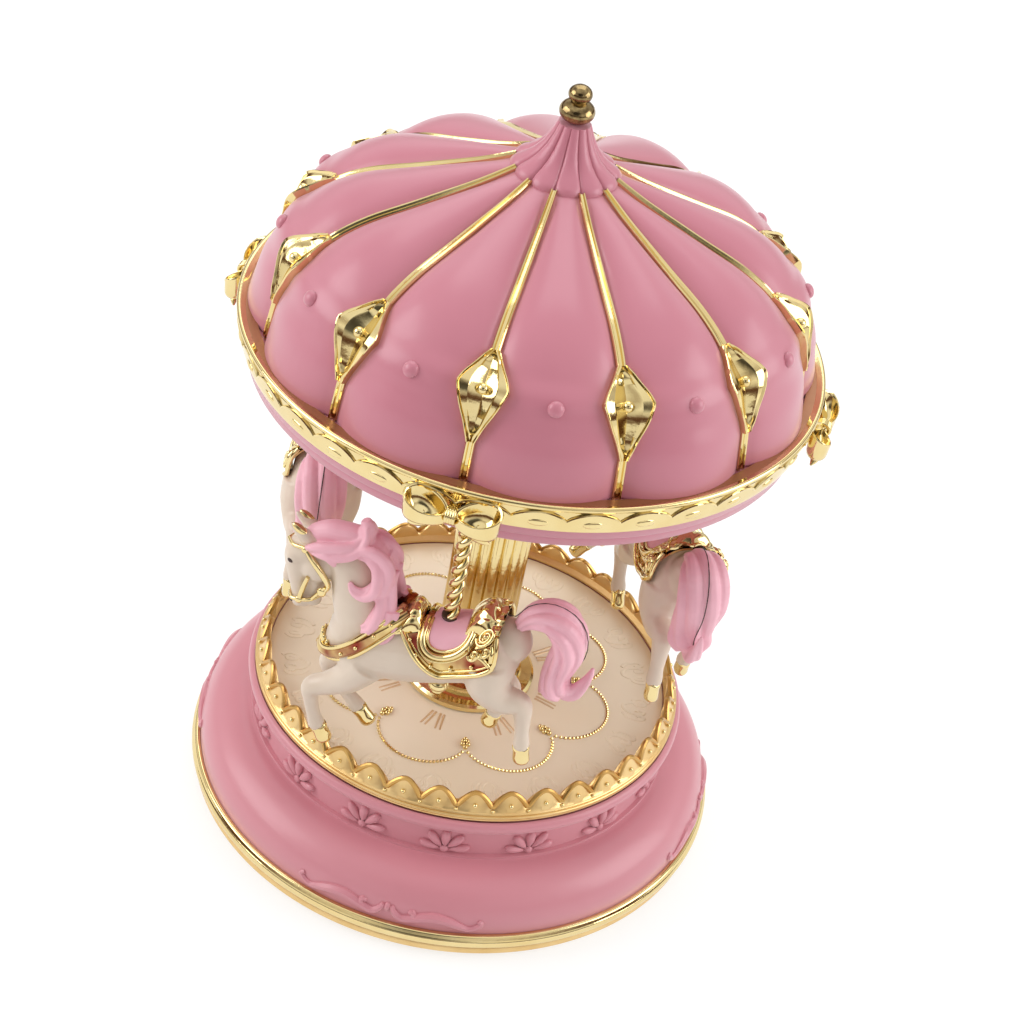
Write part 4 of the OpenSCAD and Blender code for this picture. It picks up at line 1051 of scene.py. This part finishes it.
bm = bmesh.new()
line = eased(tail, 3)
seam = [(-9.8, 0, 70.5, 0.1), (-11.2, 0, 70.6, 0.1)]
for (ax, _, az, _), (x, _, z, r), (bx, _, bz, _) in zip(line[2:], line[3:], line[4:]):
    run = math.hypot(bx - ax, bz - az)
    seam.append((x + (bz - az) / run * (r + 0.12), 0, z - (bx - ax) / run * (r + 0.12), 0.1))
swept(bm, seam, 6)
placed("tail_seam", bm, dark, "horse_pink")


# The tack
# The saddle cloth, collar and bridle are plated and clipped over the body. A pink seat lies in a
# U-shaped roll, with studs in the channel below it, a ruffled shell before and behind, and a
# fluted shell on the chest.
spine = sorted(eased(torso, 6))


def on_back(x, phi, lift):
    """A point over the horse's back: place along it, degrees down the side, and height."""
    for a, b in zip(spine, spine[1:]):
        if a[0] <= x <= b[0]:
            t = (x - a[0]) / (b[0] - a[0])
            break
    z = a[2] + (b[2] - a[2]) * t + 0.15
    haunch = 0.55 * min(max((-x - 3.5) / 4, 0), 1) * min(abs(phi) / 70, 1)
    r = a[3] + (b[3] - a[3]) * t + lift + haunch
    p = math.radians(phi)
    return (x, r * math.sin(p), z + (r + 0.6) * math.cos(p))


def hem_at(x):
    """How far down the side the saddle cloth reaches, in degrees."""
    if x > -1:
        return 104 - (x + 1) ** 1.36 * 3.75
    return 104 + (x + 1) * 0.8


# The tack gold's second colour, dark red in low patches, is a painted reflection of red surroundings.
tack_gold_painted_reflection = finish("tack_gold_painted_reflection", (0.80, 0.62, 0.26), (0.26, 0.045, 0.03), 0.06, 0.04, metallic=1.0,
                   bump=0.01, mottle=130.0)
cloth_front = 8.2
cloth_rear = -9.7
bm = bmesh.new()
bmesh.ops.create_grid(bm, x_segments=32, y_segments=48, size=0.5)
for v in bm.verts:
    x = cloth_rear + (cloth_front - cloth_rear) * (v.co.x + 0.5)
    v.co = on_back(x, hem_at(x) * 2 * v.co.y, 0.5)
bmesh.ops.solidify(bm, geom=bm.faces[:] + bm.edges[:] + bm.verts[:], thickness=0.45)
collar = [(7.4, 2.6, 66.2), (9.2, 4.3, 64.8), (11.6, 5.5, 62.3), (14.4, 5.9, 58.9), (17.0, 5.2, 56.0),
          (19.4, 4.0, 54.0), (21.3, 2.2, 52.9), (22.0, 0, 52.6)]
for side in (-1, 1):
    swept(bm, eased([(x, side * (y - 0.55), z, 1.3) for x, y, z in collar], 4), 12)
bmesh.ops.recalc_face_normals(bm, faces=bm.faces)
placed("cloth", bm, tack_gold_painted_reflection, "gold_plating")

seat_x = -0.8
hem_end = ((-9.9, 88), (-9.9, 76), (-9.7, 62), (-9.3, 48))
rolls = ((3.6, 60, 0.3, 0.9), (4.35, 69, 0.62, 0.95), (5.15, 77, 0.22, 0.65))
studs = ((5.6, 46), (3.9, 67), (0.9, 84), (-2.6, 88), (-6.2, 84))
coils = ((-7.5, 43, 1.55, 2.2), (-6.2, 65, 0.95, 1.4), (-8.2, 64, 0.8, 1.4))
sprays = (((-5.6, 72, 0.2), (-6.8, 68, 0.5), (-8.0, 74, 0.5), (-9.2, 88, 0.4)),
          ((-8.9, 58, 0.3), (-9.2, 70, 0.5), (-9.3, 82, 0.4)),
          ((-5.2, 60, 0.2), (-5.3, 48, 0.45), (-5.6, 36, 0.4)))
bm = bmesh.new()
for side in (-1, 1):
    edge_xs = [cloth_front - (cloth_front - cloth_rear) * k / 32 for k in range(33)]
    hem = [(*on_back(x, side * hem_at(x), 0.8), 0.48) for x in edge_xs]
    hem += [(*on_back(x, side * phi, 0.9), 0.48) for x, phi in hem_end]
    swept(bm, hem, 10)
    swept(bm, [(*on_back(x, side * (hem_at(x) - 9), 0.6), 0.2) for x in edge_xs[2:-1]])
    for half, low, r, lift in rolls:
        bend = [(seat_x + half, 8), (seat_x + half, 20)]
        bend += [(seat_x + half * math.cos(math.pi * k / 16),
                  32 + (low - 32) * math.sin(math.pi * k / 16) ** 0.85) for k in range(17)]
        bend += [(seat_x - half, 20), (seat_x - half, 8)]
        swept(bm, eased([(*on_back(x, side * phi, lift), r) for x, phi in bend], 2), 10)
    for x, phi in studs:
        ball(bm, *on_back(x, side * phi, 0.8), 0.42)
    for x, phi, size, turns in coils:
        coil = []
        count = int(turns * 14)
        for k in range(count):
            t = k * 2 * math.pi / 14
            grow = size * (1 - 0.8 * k / count)
            put = on_back(x + grow * math.cos(t), side * (phi + 8.4 * grow * math.sin(t)), 1.35)
            coil.append((*put, 0.36 - 0.12 * k / count))
        swept(bm, coil)
        ball(bm, *on_back(x, side * phi, 1.5), size * 0.36)
    for path in sprays:
        swept(bm, eased([(*on_back(x, side * phi, 1.0), r) for x, phi, r in path], 4))
    for edge in (-1, 1):
        line = [(x + 0.88 * edge, side * (y + 0.1), z + 1.02 * edge, 0.42) for x, y, z in collar[:-2]]
        line += [(collar[-2][0] + 0.5 * edge, side * collar[-2][1], collar[-2][2] + 1.2 * edge, 0.42),
                 (collar[-1][0] + 0.3 * edge, 0, collar[-1][2] + 1.3 * edge, 0.42)]
        swept(bm, eased(line, 4))
    for x, y, z in collar[1:5]:
        ball(bm, x + 0.2, side * (y + 0.75), z + 0.1, 0.4)
for low, high, wide, tall, lean in ((4.4, 9.4, 42, 2.2, 1), (-3.6, -9.9, 44, 2.6, -1)):
    ruffle = bmesh.ops.create_grid(bm, x_segments=14, y_segments=48, size=0.5)["verts"]
    for v in ruffle:
        along = v.co.x + 0.5
        phi = wide * 2 * v.co.y
        swell = math.sin(math.pi * min(along * 1.25 + 0.04, 1)) ** 0.7 * (1 - (phi / wide) ** 2)
        ridge = (0.4 * abs(math.sin(math.radians(phi) * 7 + 0.6 * math.sin(along * 5)))
                 * (1 - (phi / wide) ** 4))
        scallop = 0.8 * abs(math.sin(math.radians(phi) * 7)) * along * lean
        v.co = on_back(low + (high - low) * along - scallop * 0.6, phi * (0.75 + 0.25 * along),
                       1.0 + tall * swell + ridge * (0.4 + along))
    skin = list({f for v in ruffle for f in v.link_faces})
    bmesh.ops.solidify(bm, geom=skin + ruffle, thickness=0.35)
for k in range(-3, 4):
    t = k / 3
    ball(bm, 21.9 - 1.6 * t * t, 2.9 * t, 53.2 + 0.5 * t * t, 0.75, 0.52, 3.1 - 0.9 * abs(t), 8)
bmesh.ops.recalc_face_normals(bm, faces=bm.faces)
placed("tack", bm, gold, "gold_plating", "tack")

bm = bmesh.new()
bmesh.ops.create_grid(bm, x_segments=18, y_segments=40, size=0.5)
for v in bm.verts:
    part = abs(2 * v.co.y)
    phi = 60 * part
    wide = 3.6 * math.sqrt(max(0.0, 1 - max((phi - 32) / 28, 0) ** 2))
    v.co = on_back(seat_x + 2 * v.co.x * max(wide, 0.05), math.copysign(phi, v.co.y), 0.85)
bmesh.ops.solidify(bm, geom=bm.faces[:] + bm.edges[:] + bm.verts[:], thickness=0.4)
bmesh.ops.recalc_face_normals(bm, faces=bm.faces)
placed("seat", bm, horse_pink, "horse_pink")

bridle = [[(29.2, 0, 61.9, 0.36), (28.6, 1.5, 61.9, 0.36), (27.0, 2.0, 62.3, 0.4),
           (24.8, 1.9, 63.0, 0.4), (22.9, 0, 63.8, 0.36)],
          [(27.0, 2.1, 62.3, 0.45), (26.4, 2.3, 65.4, 0.5), (25.6, 3.0, 68.6, 0.4)],
          [(26.9, 2.7, 74.4, 0.45), (25.0, 3.3, 72.6, 0.6), (23.0, 3.2, 70.0, 0.6),
           (21.9, 2.6, 67.4, 0.5), (23.0, 2.0, 65.2, 0.4)],
          [(24.8, 1.9, 63.0, 0.35), (23.6, 2.2, 65.0, 0.35), (22.4, 2.6, 67.0, 0.35)],
          [(26.9, 2.7, 74.4, 0.4), (29.2, 2.0, 74.0, 0.36), (30.6, 0, 73.6, 0.36)]]
bm = bmesh.new()
for side in (-1, 1):
    for path in bridle:
        swept(bm, eased([(x, side * y, z, r) for x, y, z, r in path], 5))
    ball(bm, 23.0, side * 2.4, 65.6, 0.9, 0.5, 1.0)
    ball(bm, 27.0, side * 2.3, 62.4, 0.7, 0.4, 0.7)
    ball(bm, 26.8, side * 2.9, 74.2, 0.7, 0.45, 0.7)
    ball(bm, 28.3, side * 2.0, 77.6, 1.8, 0.75, 0.75, -32)
placed("bridle", bm, gold, "gold_plating")
